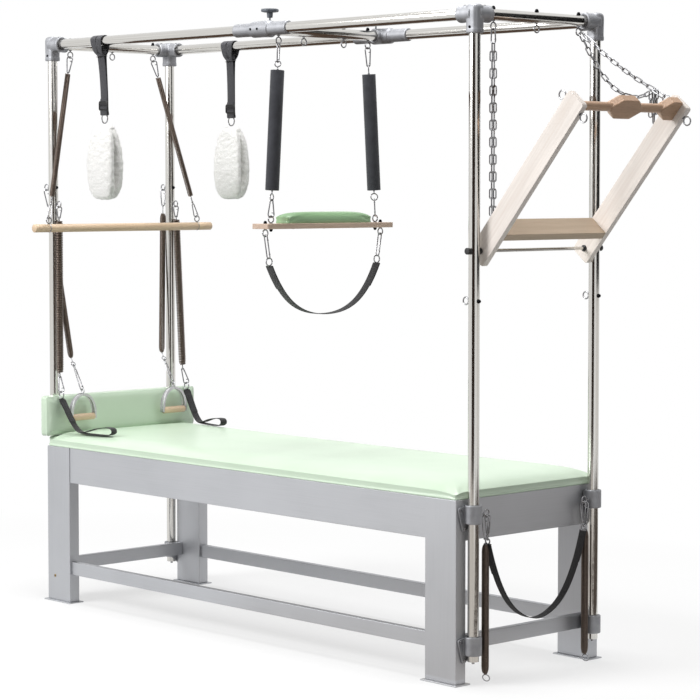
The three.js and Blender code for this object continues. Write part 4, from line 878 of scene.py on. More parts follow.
def cap_screw(seat, outward, radius=4.5, tall=3.0):
    """A round head with a sunk six-sided socket."""
    head = np.array([(0, radius), (tall - 0.6, radius), (tall, radius - 0.6), (tall, radius * 0.52)]) * MM
    hole = np.array([(tall, radius * 0.52), (tall - 1.8, radius * 0.52)]) * MM
    return [turned(seat - outward * 0.0008, seat + outward, np.concatenate([head, hole[1:]]), 24)]


print("wire hardware ready")

# %% [markdown]
# ## The tower
# Four posts stand in clamps on the legs' end faces and carry two side rails and two cross rails of the
# same tube. Each corner fitting is a casting: a rounded square upright with two tapered sockets. On the
# real object the joins between the sockets are soft, so the cast pieces are melted together: a voxel
# remesh makes one skin of all the overlapping shells, and a few smoothing rounds soften it.

# %% Castings melted into one skin
def melted(name, skins, finish, body, replaces=(), voxel=1.6, rounds=5):
    """One skin from overlapping shells, then smoothed: each point moves towards its neighbours' mean."""
    made = piece(name, skins, finish, None)
    remesh = made.modifiers.new("melt", "REMESH")
    remesh.mode, remesh.voxel_size = "VOXEL", voxel * MM
    soften = made.modifiers.new("soften", "SMOOTH")
    soften.factor, soften.iterations = 0.5, rounds
    bpy.context.view_layer.update()
    done = bpy.data.meshes.new_from_object(made.evaluated_get(bpy.context.evaluated_depsgraph_get()))
    made.modifiers.clear()
    made.data = done
    done.materials.clear()
    done.materials.append(finish)
    done.shade_smooth()
    belongs(made, finish, body, replaces)
    return made


def socket(heart, way, reach=64.0, root=29.5, mouth=27.0, lip=28.5):
    """A tapered socket with a raised lip and a recess round the tube at its mouth."""
    stations = [(0, root), (reach - 16, mouth + 0.6), (reach - 13, lip), (reach - 1.2, lip),
                (reach, lip - 1.2), (reach, TUBE + 3.2), (reach - 4, TUBE + 2.6)]
    return lathe(heart, heart + way * reach * MM, stations, 48)


def upright(heart, half=26.0, foot=64.0):
    """The casting's standing part: a rounded square of power 0.6, drawn in towards its top."""
    levels = np.array([(-foot, 0.9), (-foot + 1.5, 0.97), (-foot + 13, 0.97), (-foot + 16, 0.93),
                       (8, 0.97), (18, 0.95), (25, 0.86), (29.5, 0.68), (31, 0.4)])
    turn = np.arange(48) * 2 * np.pi / 48
    ring_points = np.stack([np.cos(turn), np.sin(turn)], -1)
    square = half * np.sign(ring_points) * np.abs(ring_points) ** 0.6
    flat = levels[:, 1, None, None] * square
    height = np.broadcast_to(levels[:, :1, None], (*flat.shape[:2], 1))
    return skin(heart + np.concatenate([flat, height], -1) * MM)


RAIL_Z = 2194
black_screws = []
for x, end in ENDS:
    for y, side in SIDES:
        heart = at(x * POST_X, y * POST_Y, RAIL_Z)
        ways = (-x * X, -y * Y, -Z)
        melted(f"corner_{side}_{end}_casting", [upright(heart)] + [socket(heart, way) for way in ways[:2]],
               CASTING, "table", [f"corner_{side}_{end}"])
        black_screws += cap_screw(heart - Z * 44 * MM + y * Y * 24.3 * MM, y * Y)
        black_screws += cap_screw(heart - x * X * 44 * MM + Z * 26.8 * MM, Z)
        black_screws += cap_screw(heart - y * Y * 44 * MM + Z * 26.8 * MM, Z)
print("castings done")

# %% [markdown]
# A tube is a lathe with two stations, but its rims are rounded by a quarter circle so that they catch
# the light. The posts end in plugs with a bolt below, and stand in a clamp at the top and at the foot
# of each leg: a round block with a flange that two screws hold to the leg.

# %% Posts, clamps and rails
SEAT = 22
POST_FOOT, PLUG_BOLT = 72, 8
CLAMP_Z = (565, 131)
CLAMP_TALL, CLAMP_RADIUS = 62, 29
FLANGE_GAP, FLANGE = 0.3, 5.5
POST_EYES = {"left": [(1632, -1, 15), (1565, 1, 6)], "right": [(1263, -1, 6)]}


def hull(points):
    """The convex outline of flat points, walked by the sign of the cross product."""
    ordered = sorted(map(tuple, points))
    outline = []
    for run in (ordered, ordered[::-1]):
        part = []
        for point in run:
            while len(part) > 1:
                (ax, ay), (bx, by) = np.subtract(part[-1], part[-2]), np.subtract(point, part[-2])
                if ax * by - ay * bx > 0:
                    break
                part.pop()
            part.append(point)
        outline += part[:-1]
    return np.array(outline)


def clamp_skins(x, y, height):
    """The block is a lathe; the flange is the convex outline round three circles."""
    centre = at(x * POST_X, y * POST_Y, height)
    half = CLAMP_TALL / 2
    block = lathe(centre - Z * half * MM, centre + Z * half * MM,
                  [(0, CLAMP_RADIUS - 2), (1.5, CLAMP_RADIUS), (CLAMP_TALL - 1.5, CLAMP_RADIUS),
                   (CLAMP_TALL, CLAMP_RADIUS - 2), (CLAMP_TALL, TUBE + 2), (CLAMP_TALL - 3, TUBE + 1)], 48)
    screws = [(y * (POST_Y + 39), height + 14), (y * (POST_Y + 22), height - 48)]
    rounds = [(screws[0], 11), (screws[1], 11), ((y * (POST_Y - 14), height + half - 10), 9),
              ((y * (POST_Y - 14), height - half + 10), 9)]
    dots = np.concatenate([np.array(spot) + circle(radius, 20) for spot, radius in rounds])
    face = x * (LENGTH / 2 + FLANGE_GAP + FLANGE / 2)
    flange = plate(hull(dots) * MM, FLANGE * MM, at(face, 0, 0), (Y, Z, X))
    seats = [(at(x * (LENGTH / 2 + FLANGE_GAP + FLANGE), *spot), x * X) for spot in screws]
    return [block, flange], seats


def steel_tube(start, end):
    """The tower's tube between two points, its rims rounded."""
    return [rod(start, end, TUBE * MM, TUBE_SIDES, TUBE_RIM)]


bright_screws = []
for x, end in ENDS:
    for y, side in SIDES:

        def spot(z):
            return at(x * POST_X, y * POST_Y, z)

        piece(f"post_{side}_{end}_tube", steel_tube(spot(POST_FOOT + PLUG_BOLT), spot(RAIL_Z - SEAT)),
              STEEL, "table", [f"post_{side}_{end}"])
        wires = [rod(spot(POST_FOOT), spot(POST_FOOT + PLUG_BOLT), 0.005, 6)]
        for z, outward, shank in POST_EYES[end]:
            bolt, _ = eye_bolt(spot(z), outward * X, Z, TUBE, shank=shank)
            wires += bolt
            black_screws += dome_nut(spot(z) - outward * X * TUBE * MM, -outward * X)
        if x > 0:
            eye_at = at(POST_X + 8, y * 240.5, 565)
            wires += [ring(eye_at, 12 * MM, y * Y, Z),
                      rod(eye_at + y * Y * 11.5 * MM, eye_at + y * Y * 27 * MM, WIRE * 1.05, 14)]
        piece(f"post_{side}_{end}_wires", wires, PLATE, "table")
        for level, height in zip(("upper", "lower"), CLAMP_Z):
            skins, seats = clamp_skins(x, y, height)
            melted(f"clamp_{side}_{end}_{level}", skins, CASTING, "table", voxel=1.4, rounds=3)
            for seat, outward in seats:
                bright_screws += cap_screw(seat, outward, 5.5, 4)
    wires = []
    for y in (-1, 0, 1):
        heart = at(x * POST_X, y * 208, RAIL_Z)
        wires += eye_bolt(heart, -Z, Y, TUBE)[0]
        black_screws += dome_nut(heart + Z * TUBE * MM, Z)
    piece(f"cross_rail_{end}_eyes", wires, PLATE, "table")
    piece(f"cross_rail_{end}_tube",
          steel_tube(at(x * POST_X, -POST_Y + SEAT, RAIL_Z), at(x * POST_X, POST_Y - SEAT, RAIL_Z)),
          STEEL, "table", [f"cross_rail_{end}"])
for y, side in SIDES:
    piece(f"side_rail_{side}_tube",
          steel_tube(at(-POST_X + SEAT, y * POST_Y, RAIL_Z), at(POST_X - SEAT, y * POST_Y, RAIL_Z)),
          STEEL, "table", [f"side_rail_{side}"])
bush = at(-1085.6, -WIDTH / 2, 100)
piece("leg_bush", [lathe(bush + 0.001 * Y, bush - Y,
                         [(0, 5.6), (2.2, 5.6), (2.6, 5.1), (2.6, 3.4), (1.2, 3.2)], 32)],
      BRASS, "table")
piece("leg_bush_core", [lathe(bush + 0.001 * Y, bush - Y, [(0, 3.3), (1.8, 3.3), (2.0, 0.2)], 24)],
      BLACK, "table")
piece("clamp_screws", bright_screws, PLATE, "table")
print("tower done")

# %% [markdown]
# ## The sliding cross bar
# A Tee casting slides along each side rail and holds one end of the cross bar. A lobed plastic knob on
# each clamps it. The bar carries four eyebolts, and the outer two hold the trapeze.

# %% Carriage
carriage_screws = []
for y, side in SIDES:
    heart = at(CARRIAGE, y * POST_Y, RAIL_Z)
    way = -y * Y
    sleeve = [(0, TUBE + 1.6), (0, 22.5), (1.5, 24), (40, 24), (46, 24), (92, 24.2), (96, 29), (188, 29),
              (192, 24.2), (282.5, 24), (284, 22.5), (284, TUBE + 1.6)]
    body = lathe(heart - 142 * X * MM, heart, sleeve, 48)
    arm = lathe(heart, heart + way, [(0, 29), (28, 27.5), (44, 27), (46, 25.5), (46, 22), (43, 21)], 48)
    melted(f"tee_{side}_casting", [body, arm], CASTING, "carriage", [f"cross_bar_tee_{side}"],
           voxel=1.5, rounds=4)
    for x in (76, 112):
        carriage_screws += cap_screw(at(x, y * (POST_Y + 28.8), RAIL_Z), y * Y)
piece("cross_bar_tube", steel_tube(at(CARRIAGE, -272, RAIL_Z), at(CARRIAGE, 272, RAIL_Z)), STEEL,
      "carriage", ["cross_bar"])
wires = []
for place in (-219, -98, 98, 219):
    heart = at(CARRIAGE, place, RAIL_Z)
    wires += eye_bolt(heart, -Z, Y, TUBE)[0]
    carriage_screws += dome_nut(heart + Z * TUBE * MM, Z)
piece("cross_bar_eyes", wires, PLATE, "carriage")
piece("carriage_nuts", carriage_screws, BLACK_METAL, "carriage")

LOBES = 6
for y, side in SIDES:
    foot = at(CARRIAGE, y * (POST_Y - 34), RAIL_Z + 27.3)
    turn = np.linspace(0, 2 * np.pi, 73)[:-1]
    rim = 32 * (1 - 0.045 * (1 - np.cos(LOBES * turn)))
    rise = np.array([(34, 0.72), (35.2, 0.93), (38, 1.0), (43.5, 1.0), (46, 0.93), (46.9, 0.7), (45.8, 0.3),
                     (45.6, 0.02)])
    grid = np.stack([rise[:, 1:2] * rim * np.cos(turn), rise[:, 1:2] * rim * np.sin(turn),
                     np.broadcast_to(rise[:, :1], (len(rise), len(turn)))], -1) * MM
    hub = lathe(foot + Z * 0.015, foot + Z, [(0, 9), (1, 10), (19.5, 11.5)], 32)
    screw = lathe(foot, foot + Z, [(0, 3), (16, 3)], 20)
    piece(f"knob_{side}_lobed", [skin(foot + grid), hub, screw], SLATE, f"clamp_knob_{side}",
          [f"knob_{side}"])
print("carriage done")

# %% [markdown]
# ## Springs
# The dark springs are close-wound: each turn lies against the next, so from a step away they look like
# ribbed rods. The centre line is a helix whose radius grows from a neck at each end. The springs with
# open turns have the same formula and a longer pitch.

# %% A wound spring
def wound(start, end, outer, wire, pitch, neck, steps=16, sides=6):
    """start + axis · s + r(s) · (cos a · across + sin a · third), where a makes one turn for each
    pitch and r grows from neck · radius to the full radius over the first and last two radii. A neck
    of 1 ends the spring square."""
    axis = unit(end - start)
    length = np.linalg.norm(end - start)
    across, third = cross_axes(axis)
    turns = max(2, round(length / (pitch * MM)))
    a = np.linspace(0, turns * 2 * np.pi, turns * steps + 1)
    s = np.linspace(0, length, len(a))
    full = (outer - wire) * MM
    taper = np.clip(np.minimum(s, length - s) / (2 * outer * MM), 0, 1)
    radius = full * (neck + (1 - neck) * np.sqrt(np.sin(taper * np.pi / 2)))
    path = (start + s[:, None] * axis + (radius * np.cos(a))[:, None] * across
            + (radius * np.sin(a))[:, None] * third)
    return sweep(path, circle(wire * MM, sides), axis)


HOLD = 4.6


def stop(start, end, radius):
    """The turned end piece that closes a spring and holds its clip's swivel."""
    length = np.linalg.norm(end - start)
    return turned(start, end, [(0, radius * 0.4), (length * 0.25, radius), (length * 0.8, radius),
                               (length, radius * 0.75)], 24)


def pigtail(end, axis, across, radius, stem, wire=2.0):
    """The spring's last wire, bent into an eye beyond its end; returns the eye's far wire too."""
    centre = end + axis * (stem + radius) * MM
    return ([rod(end - axis * 0.006, end + axis * (stem + 0.6) * MM, wire * MM, 12),
             ring(centre, radius * MM, axis, across, wire=wire * MM)],
            end + axis * (stem + 2 * radius) * MM)


def swivel_snap(start, end, across, radii, wire=2.2):
    """A snap hook: a pear loop over the far wire, and a turned barrel with a small eye on the near one."""
    along = unit(end - start)
    eye_radius, barrel = 5.0, 11.0
    low = start + along * (2 * eye_radius - HOLD + barrel) * MM
    barrel_body = lathe(start + along * (2 * eye_radius - HOLD - 1) * MM, low + along * 0.001,
                        [(0, 3), (2, 4.6), (5, 4.6), (6, 3.4), (9, 3.4), (11, 4.4), (13, 3)], 20)
    eye = ring(start + along * (eye_radius - HOLD) * MM, eye_radius * MM, along, np.cross(along, across),
               wire=wire * MM)
    return [eye, barrel_body] + clip(low, end, across, (0, HOLD), radii, wire * MM)


def hung_spring(name, top, first, last, low, across, outer, body, node, eyes, stems, radii, wire=1.7,
                pitch=3.5, neck=0.35, snap=False):
    """A clip, an eye, a wound body, an eye and another clip, as one line between two wires."""
    axis = unit(last - first)
    springs = [wound(first, last, outer, wire, pitch, neck)]
    aside = np.cross(axis, across)
    metal, near = pigtail(first, -axis, aside, eyes[0], stems[0])
    metal += [stop(first - axis * 0.001, first + axis * 0.01, outer * 0.45 * MM),
              stop(last + axis * 0.001, last - axis * 0.01, outer * 0.45 * MM)]
    metal += clip(top, near, across, (HOLD, HOLD), radii)
    if low is not None:
        more, far = pigtail(last, axis, aside, eyes[1], stems[1])
        metal += more
        metal += (swivel_snap(far, low, across, (4.0, 8.0)) if snap
                  else clip(far, low, across, (HOLD, HOLD), radii[::-1]))
    piece(f"{name}_coils", springs, SPRING, body, [node], smooth=80)
    return metal


FACING = unit((0.68, 0.73, 0))
LEG_LINE_X, LEG_LINE_Y = -1081.7, 316.5
END_LINE_X, END_SPRING_Y, END_STRAP_Y = 1166, 245.7, 235.3
HANDLE_X, HANDLE_Y = -1059.7, 230


def between_points(start, end, from_start, from_end):
    """Two points on the line, so many millimetres in from each end."""
    axis = unit(end - start)
    return start + axis * from_start * MM, end - axis * from_end * MM


for y, side in SIDES:
    top, low = at(-1156.7, y * 210.7, 2146.2), at(-1081.3, y * 370.3, 1514.8)
    first, last = between_points(top, low, 68, 86)
    metal = hung_spring(f"roll_down_spring_{side}", top, first, last, low, FACING, 11.0, "roll_down",
                        f"roll_down_spring_{side}", neck=0.97, eyes=(4.5, 9.0), stems=(2.0, 1.0),
                        radii=(11.0, 4.5), snap=True)
    piece(f"roll_down_clips_{side}", metal, PLATE, "roll_down")
    top, handle_eye, foot = at(-1204, y * 294.5, 1620), at(-1064, y * 230, 834.2), at(-1136, y * 230, 955)
    neck = at(-1194.3, y * 285.3, 1524.9)
    metal = hung_spring(f"arm_spring_{side}", top, neck, foot, None, FACING, 12.5, f"arm_line_{side}",
                        f"arm_spring_{side}", eyes=(5.0, 5.0), stems=(26.0, 4.0), radii=(10.0, 5.0))
    axis = unit(handle_eye - foot)
    more, far = pigtail(foot - axis * 0.006, axis, FACING, 8.0, 26.0)
    metal += more + swivel_snap(far, handle_eye, Y, (4.0, 7.5))
    piece(f"arm_clips_{side}", metal, PLATE, f"arm_line_{side}")
    top, neck, foot = at(-1121, y * 294.5, 1553), at(-1119.4, y * 295.8, 1501), at(-1101, y * 310.5, 903)
    low, hoop = (at(LEG_LINE_X, y * LEG_LINE_Y, z) for z in (828.7, 814.7))
    metal = hung_spring(f"leg_spring_{side}", top, neck, foot, low, FACING, 15.5, f"leg_line_{side}",
                        f"leg_spring_{side}", wire=2.9, pitch=6.8, neck=0.8, eyes=(6.0, 9.0),
                        stems=(2.0, 3.0), radii=(10.5, 4.5))
    metal += [ring(hoop, 14 * MM, Z, X)]
    piece(f"leg_clips_{side}", metal, PLATE, f"leg_line_{side}")
    top = at(END_LINE_X, y * END_SPRING_Y, 555.2)
    first, last = top - 92 * MM * Z, at(END_LINE_X, y * END_SPRING_Y, 34)
    metal = hung_spring(f"end_spring_{side}", top, first, last, None, FACING, 13, f"end_line_{side}",
                        f"end_spring_{side}", eyes=(8.0, 8.0), stems=(4.0, 4.0), radii=(10.5, 5.0))
    outward = unit(0.25 * FACING - Z)
    metal += pigtail(last, outward, FACING, 11.0, 3.0, 1.9)[0]
    piece(f"end_clips_{side}", metal, PLATE, f"end_line_{side}")
print("springs done")

# %% [markdown]
# ## Roll-down bar, handles and the trapeze
# The wooden bars and grips are turned, so they are lathes. The D-shaped handles are bent from flat
# steel strip: half an ellipse with short straight feet, carried along its path as a flat section.

# %% Roll-down bar and handles
BAR_X, BAR_Z, BAR_R = -1080, 1473, 16
groove = [(0, 14.5), (1.5, 16)]
for place in (71, 817):
    groove += [(place - 3, 16), (place - 2, 15), (place + 2, 15), (place + 3, 16)]
groove += [(886.5, 16), (888, 14.5)]
piece("roll_down_bar_turned", [lathe(at(BAR_X, -444, BAR_Z), at(BAR_X, 444, BAR_Z), groove, 48)],
      BEECH, "roll_down", ["roll_down_bar"], smooth=50)
eyes = []
for y in (-1, 1):
    heart = at(BAR_X, y * 373, BAR_Z)
    eyes += [ring(at(BAR_X, y * 373, 1504), 12 * MM, Z, Y),
             rod(heart + Z * 0.014, heart + Z * 0.0195, WIRE, 14),
             ring(heart, BAR_R * MM, Z, X, wire=0.0012)]
piece("roll_down_eyes", eyes, PLATE, "roll_down")


def strip_profile(width, thick, round_off=0.3):
    """A flat section with slightly rounded corners: its width along the first coordinate."""
    return rounded_outline(width, thick, thick * round_off, 4)


for y, side in SIDES:
    centre = at(HANDLE_X, y * HANDLE_Y, 724)
    half, rise, thick, heel = 54.6 + 1.5, 89.5, 3, 8
    turn = np.linspace(0, np.pi, 41)
    arch = np.stack([half * np.cos(turn), 13.5 + (rise - 13.5) * np.sin(turn)], -1)
    flat = np.concatenate([[(half, -heel)], arch, [(-half, -heel)]]) * MM
    path = centre + flat[:, :1] * Y + flat[:, 1:] * Z
    bow = sweep(path, strip_profile(0.003, 0.020)[:, ::1], X)
    pin = rod(centre - 58 * MM * Y, centre + 58 * MM * Y, 4 * MM, 20)
    nuts = [rod(centre + s * 57 * MM * Y, centre + s * 60.5 * MM * Y, 7 * MM, 6) for s in (-1, 1)]
    eye_at = at(HANDLE_X, y * HANDLE_Y, 827)
    metal = [bow, pin, ring(eye_at, 9 * MM, Z, X),
             rod(eye_at - Z * 0.0085, eye_at - Z * 0.015, WIRE, 14)] + nuts
    piece(f"arm_handle_{side}_bow", metal, SATIN_PLATE, f"arm_line_{side}", [f"arm_handle_{side}"])
    barrel = [(0, 4.6), (0, 12), (1.5, 13.4), (54, 13.5), (106.5, 13.4), (108, 12), (108, 4.6)]
    piece(f"arm_grip_{side}_turned", [lathe(centre - 54 * MM * Y, centre + 54 * MM * Y, barrel, 36)],
          BEECH, f"hand_grip_{side}", [f"arm_grip_{side}"], smooth=50)
print("bars and handles done")

# %% [markdown]
# The trapeze hangs from the cross bar's outer eyes: a clip, a steel rod inside a foam sleeve, another
# clip, and a plywood board with a padded seat. Below the board hangs a sling of webbing.

# %% Trapeze
for y, side in SIDES:
    top, low = at(CARRIAGE, y * 219, 2145), at(CARRIAGE, y * 257, 1530)
    axis = unit(low - top)

    def spot(drop):
        return top + axis * drop * MM

    facing, sideways = (FACING, np.cross(FACING, Z)) if y > 0 else (unit((-0.35, 0.94, 0)), FACING)
    metal = clip(top, spot(61), facing, (HOLD, HOLD), (9.5, 5.5))
    metal += pigtail(spot(94), -axis, sideways, 10.5, 12.5, 2.2)[0]
    metal += pigtail(spot(524), axis, facing, 12.5, 12.5, 2.2)[0]
    metal += clip(spot(561.5), low, sideways, (HOLD, HOLD), (4.5, 10.5))
    metal += [rod(spot(90), spot(528), 4 * MM, 20)]
    piece(f"trapeze_hanger_{side}_steel", metal, PLATE, "trapeze", [f"trapeze_hanger_{side}"])
    round_rim = [(0, 4.7), (0, 23.6), (0.5, 24.6), (1.6, 25), (428.4, 25), (429.5, 24.6), (430, 23.6),
                 (430, 4.7)]
    piece(f"trapeze_sleeve_{side}_foam", [lathe(spot(94), spot(524), round_rim, 48)], FOAM, "trapeze",
          [f"trapeze_sleeve_{side}"], smooth=50)
board = rounded_outline(0.618, 0.090, 0.006)
piece("trapeze_board", [plate(board, 0.019, at(CARRIAGE, 0, PLANK_MIDDLE), (Y, X, Z))], PLANK,
      "trapeze", ["trapeze_plank"], bevel=0.0015)
metal, dark = [], []
for y in (-1, 1):
    for place, way in ((257, Z), (284, -Z)):
        heart = at(CARRIAGE, y * place, PLANK_MIDDLE)
        metal += eye_bolt(heart, way, Y, 9.5, shank=3)[0]
        dark += dome_nut(heart - way * 9.5 * MM, -way)
for place in (-150, 0, 150):
    dark += cap_screw(at(CARRIAGE, place, PLANK_TOP - 19), -Z, 5, 2.2)
piece("trapeze_board_eyes", metal, PLATE, "trapeze")
piece("trapeze_board_screws", dark, BLACK_METAL, "trapeze")
print("trapeze done")

# %% [markdown]
# ## Webbing
# A strap is a flat section carried along a hanging curve. The curve is a smooth line through a few
# points, worked out with Catmull-Rom weights. Where the real strap is folded back on itself and sewn,
# a second layer lies on the first, with rows of stitches across it.

# %% Straps and their stitches
def smooth_line(points, steps=14):
    """Catmull-Rom: between two points, a cubic whose end slopes are half the chords either side."""
    points = np.asarray(points, float)
    padded = np.concatenate([2 * points[:1] - points[1:2], points, 2 * points[-1:] - points[-2:-1]])
    t = np.linspace(0, 1, steps, endpoint=False)[:, None, None]
    a, b, c, d = (padded[i:len(padded) - 3 + i][None] for i in range(4))
    curve = 0.5 * (2 * b + (c - a) * t + (2 * a - 5 * b + 4 * c - d) * t ** 2
                   + (3 * b - a - 3 * c + d) * t ** 3)
    return np.concatenate([curve.transpose(1, 0, 2).reshape(-1, 3), points[-1:]])


def strap(path, side, width, thick):
    """Width along the side direction: the sweep's reference is square to it and to the path."""
    along = tangents(np.asarray(path, float), False)
    across = unit(side)
    lift = np.cross(along, across)
    lift /= np.linalg.norm(lift, axis=1, keepdims=True)
    return carried(path, strip_profile(width * MM, thick * MM, 0.45), np.broadcast_to(across, along.shape),
                   lift)


def sewn_band(path, width, ends, rows, row_width):
    """A hanging strap whose two ends are folded back on themselves and sewn; returns thread too."""
    skins, thread = [strap(path, X, width, 2.6)], []
    for end in ends:
        part = path[end]
        along = tangents(part, False)
        out = np.cross(along, X)
        out *= np.sign(out[:, 2:].mean() or 1)
        skins.append(strap(part - out * 0.0028, X, width, 2.4))
        for i in rows:
            thread += stitches(part[i] - out[i] * 0.0042, along[i], X, row_width)
    return skins, thread


def eased_span():
    """Places from -1 to 1 along a hanging strap, closer together near its ends."""
    return np.sin(np.linspace(-1, 1, 61) * np.pi / 2)


def stitches(centre, along, across, width, rows=2, gap=9.0, pitch=3.2):
    """Short thread dashes in rows across a strap, as tiny rounded rods."""
    made = []
    count = int(width / pitch)
    for row in range(rows):
        for i in range(count):
            middle = (centre + along * (row - (rows - 1) / 2) * gap * MM
                      + across * (i - (count - 1) / 2) * pitch * MM)
            made.append(rod(middle - across * 0.001, middle + across * 0.001, 0.0004, 6))
    return made


THREAD = moulded("strap_thread", (0.42, 0.42, 0.44), 0.7)
for y, side in SIDES:
    top = at(CARRIAGE, y * 282, 1457.8)
    low, hoop = at(CARRIAGE, y * 268.3, 1379.1), at(CARRIAGE, y * 266, 1366)
    metal = clip(top, low, X, (HOLD, 1.6)) + [ring(hoop, 14 * MM, Z, Y)]
    piece(f"sling_clip_{side}", metal, PLATE, "sling")
place = eased_span()
rise = 1171 + 181 * (0.5 * place ** 2 + 0.5 * place ** 4)
path = np.array([at(CARRIAGE, 264 * p, z) for p, z in zip(place, rise)])
skins, thread = sewn_band(path, 36, (slice(0, 13), slice(-13, None)), (2, 10), 30)
piece("sling_webbing", skins, WEB, "sling", ["trapeze_sling"])
piece("sling_stitches", thread, THREAD, "sling")
print("sling done")

# %% [markdown]
# Each leg strap hangs in front of the headboard from a ring, runs out on the pad and ends in a
# teardrop loop for a foot. The points are the strap's route, seen from its side and turned a little
# about the vertical.

# %% Leg straps, cuff straps and the strap between the posts
LEG_ROUTE = [(0, 131), (26, 92), (52, 54), (80, 22), (106, 6), (140, 2), (190, 1), (238, 1.5), (268, 4),
             (286, 12), (289, 22), (281, 30), (262, 32), (232, 30), (196, 24), (166, 16), (140, 9), (118, 6)]
PAD_TOP = 667.0


def leg_strap(side):
    start = np.array([LEG_LINE_X, side * LEG_LINE_Y])
    end = np.array([-797.4, side * 276.5])
    forward = unit(end - start)
    route = np.array([[*(start + forward * run), PAD_TOP + 1.5 + rise] for run, rise in LEG_ROUTE])
    path = smooth_line([at(*point) for point in route])
    across = np.array([-forward[1], forward[0], 0])
    return strap(path, across, 30, 2.4), path, across


for y, side in SIDES:
    band, path, across = leg_strap(y)
    along = tangents(path, False)
    lift = np.cross(along, across)
    lift *= np.sign(lift[:1, 0]) if lift[0, 0] else 1
    fold = strap(path[2:34] + lift[2:34] * 0.0027, across, 30, 2.3)
    tip = strap(path[2:8] - lift[2:8] * 0.0027, across, 30, 2.3)
    piece(f"leg_strap_{side}_webbing", [band, fold, tip], WEB, f"leg_line_{side}",
          [f"leg_strap_{side}"])
    thread = []
    for i in (9, 30):
        thread += stitches(path[i] + lift[i] * 0.0041, along[i], across, 26)
    piece(f"leg_strap_{side}_stitches", thread, THREAD, f"leg_line_{side}")

CUFF_X = (-820, -764)
CUFF_TOP, CUFF_LOW, BUCKLE_Z = 1876, 1584, 1946
HITCH_DROP, OVER_RAIL, RING_TOP = 56.0, 21.8, 38.7


def hitch_turn(place, shift, aside):
    """One turn of strap over the rail: up in front, half a circle over the top, down behind."""
    front = [(shift * 0.6 + aside * 0.15, -7.5, -HITCH_DROP), (shift * 0.85 + aside * 0.65, -17, -34)]
    angle = np.radians([-80, -40, 0, 40, 80])
    over = [(shift + aside, OVER_RAIL * math.sin(a), OVER_RAIL * math.cos(a)) for a in angle]
    route = front + over + [(dx, -dy, dz) for dx, dy, dz in front[::-1]]
    return strap(smooth_line([place(dx, dy, RAIL_Z + dz) for dx, dy, dz in route], 6), X, 32, 2.3)


def hanging(place, shift, sign, low, high, joint):
    """One layer below the hitch: its sideways drift fades with the square of the height."""
    made = []
    for z in np.linspace(low, high, 26):
        share = min(1, max(0, (z - joint) / (high - joint)))
        apart = 1.7 + 3.2 * math.exp(-(z - low) / 9) + 4.6 * share ** 3
        made.append(place(shift * 0.6 * share ** 1.5, sign * apart, z))
    return made


for (y, side), x, shift in zip(SIDES, CUFF_X, (-26, -5)):
    def place(dx, dy, z):
        return at(x + dx, y * POST_Y + dy, z)

    foot, joint, knot_z = CUFF_TOP + RING_TOP, BUCKLE_Z + 19, RAIL_Z - HITCH_DROP + 6
    turn = np.linspace(-0.45, 0.45, 9) * np.pi
    fold = [place(0, 4.9 * math.sin(a), foot - 4.9 * math.cos(a)) for a in turn]
    front, back = (hanging(place, shift, sign, foot, knot_z, joint) for sign in (-1, 1))
    band = strap(np.array(front[::-1] + fold + back), X, 42, 2.4)
    fall = [place(0, -4.4 - 0.8 * math.sin(t * 3), joint + 8 - 62 * t) for t in np.linspace(0, 1, 14)]
    tail = strap(np.array(fall), X, 42, 2.3)
    knot_path = [place(shift * 0.62 + u, v, knot_z + 4 + 0.12 * u) for u, v in rounded_outline(38, 23, 11)]
    knot = sweep(np.array(knot_path), strip_profile(0.0024, 0.025)[:, ::1], Z, closed=True)
    piece(f"cuff_strap_{side}_webbing", [band, tail, knot]
          + [hitch_turn(place, shift, aside) for aside in (-18, 18)],
          GREY_WEB, f"cuff_line_{side}", [f"cuff_strap_{side}"])
    frame_path = np.array([place(u, -6.2, BUCKLE_Z + v) for u, v in rounded_outline(50, 32, 6)])
    buckle = [sweep(frame_path, circle(0.003, 10), Y, closed=True),
              rod(place(-25, -6.2, BUCKLE_Z), place(25, -6.2, BUCKLE_Z), 0.0024, 12),
              slab(mm(48, 2.6, 12), place(0, -7.2, BUCKLE_Z + 12))]
    piece(f"cuff_{side}_buckle", buckle, BLACK, f"cuff_line_{side}", bevel=0.0006)
    hoop = ring(place(0, 0, CUFF_TOP + 20.7), 18 * MM, Z, X)
    piece(f"cuff_{side}_ring", [hoop], PLATE, f"cuff_line_{side}")

metal = []
for y in (-1, 1):
    top, low = (at(END_LINE_X, y * END_STRAP_Y, z) for z in (555.2, 462))
    metal += swivel_snap(low + Z * 0.018, top, FACING, (4.0, 9.0))
    metal += [ring(low + Z * 0.0095, 9 * MM, Z, X), rod(low - X * 0.0155, low + X * 0.0155, 2.2 * MM, 14)]
piece("end_strap_clips", metal, PLATE, "end_loop")
hang = np.array([at(END_LINE_X, END_STRAP_Y * p, 190 + (464 - 190) * (0.5 * abs(p) ** 1.7 + 0.5 * p ** 4))
                 for p in eased_span()])
skins, thread = sewn_band(hang, 29, (slice(0, 12), slice(-12, None)), (9,), 24)
piece("end_strap_webbing", skins, WEB, "end_loop", ["end_strap"])
piece("end_strap_stitches", thread, THREAD, "end_loop")
print("straps done")

# %% [markdown]
# ## Fleece cuffs
# A cuff is a thick padded band closed into a tall loop, covered in white fleece. Its section is a
# rounded flat shape carried round an oval. The pile is real geometry: the surface is pushed out by three
# sizes of smooth random bumps, so that the outline is woolly too.

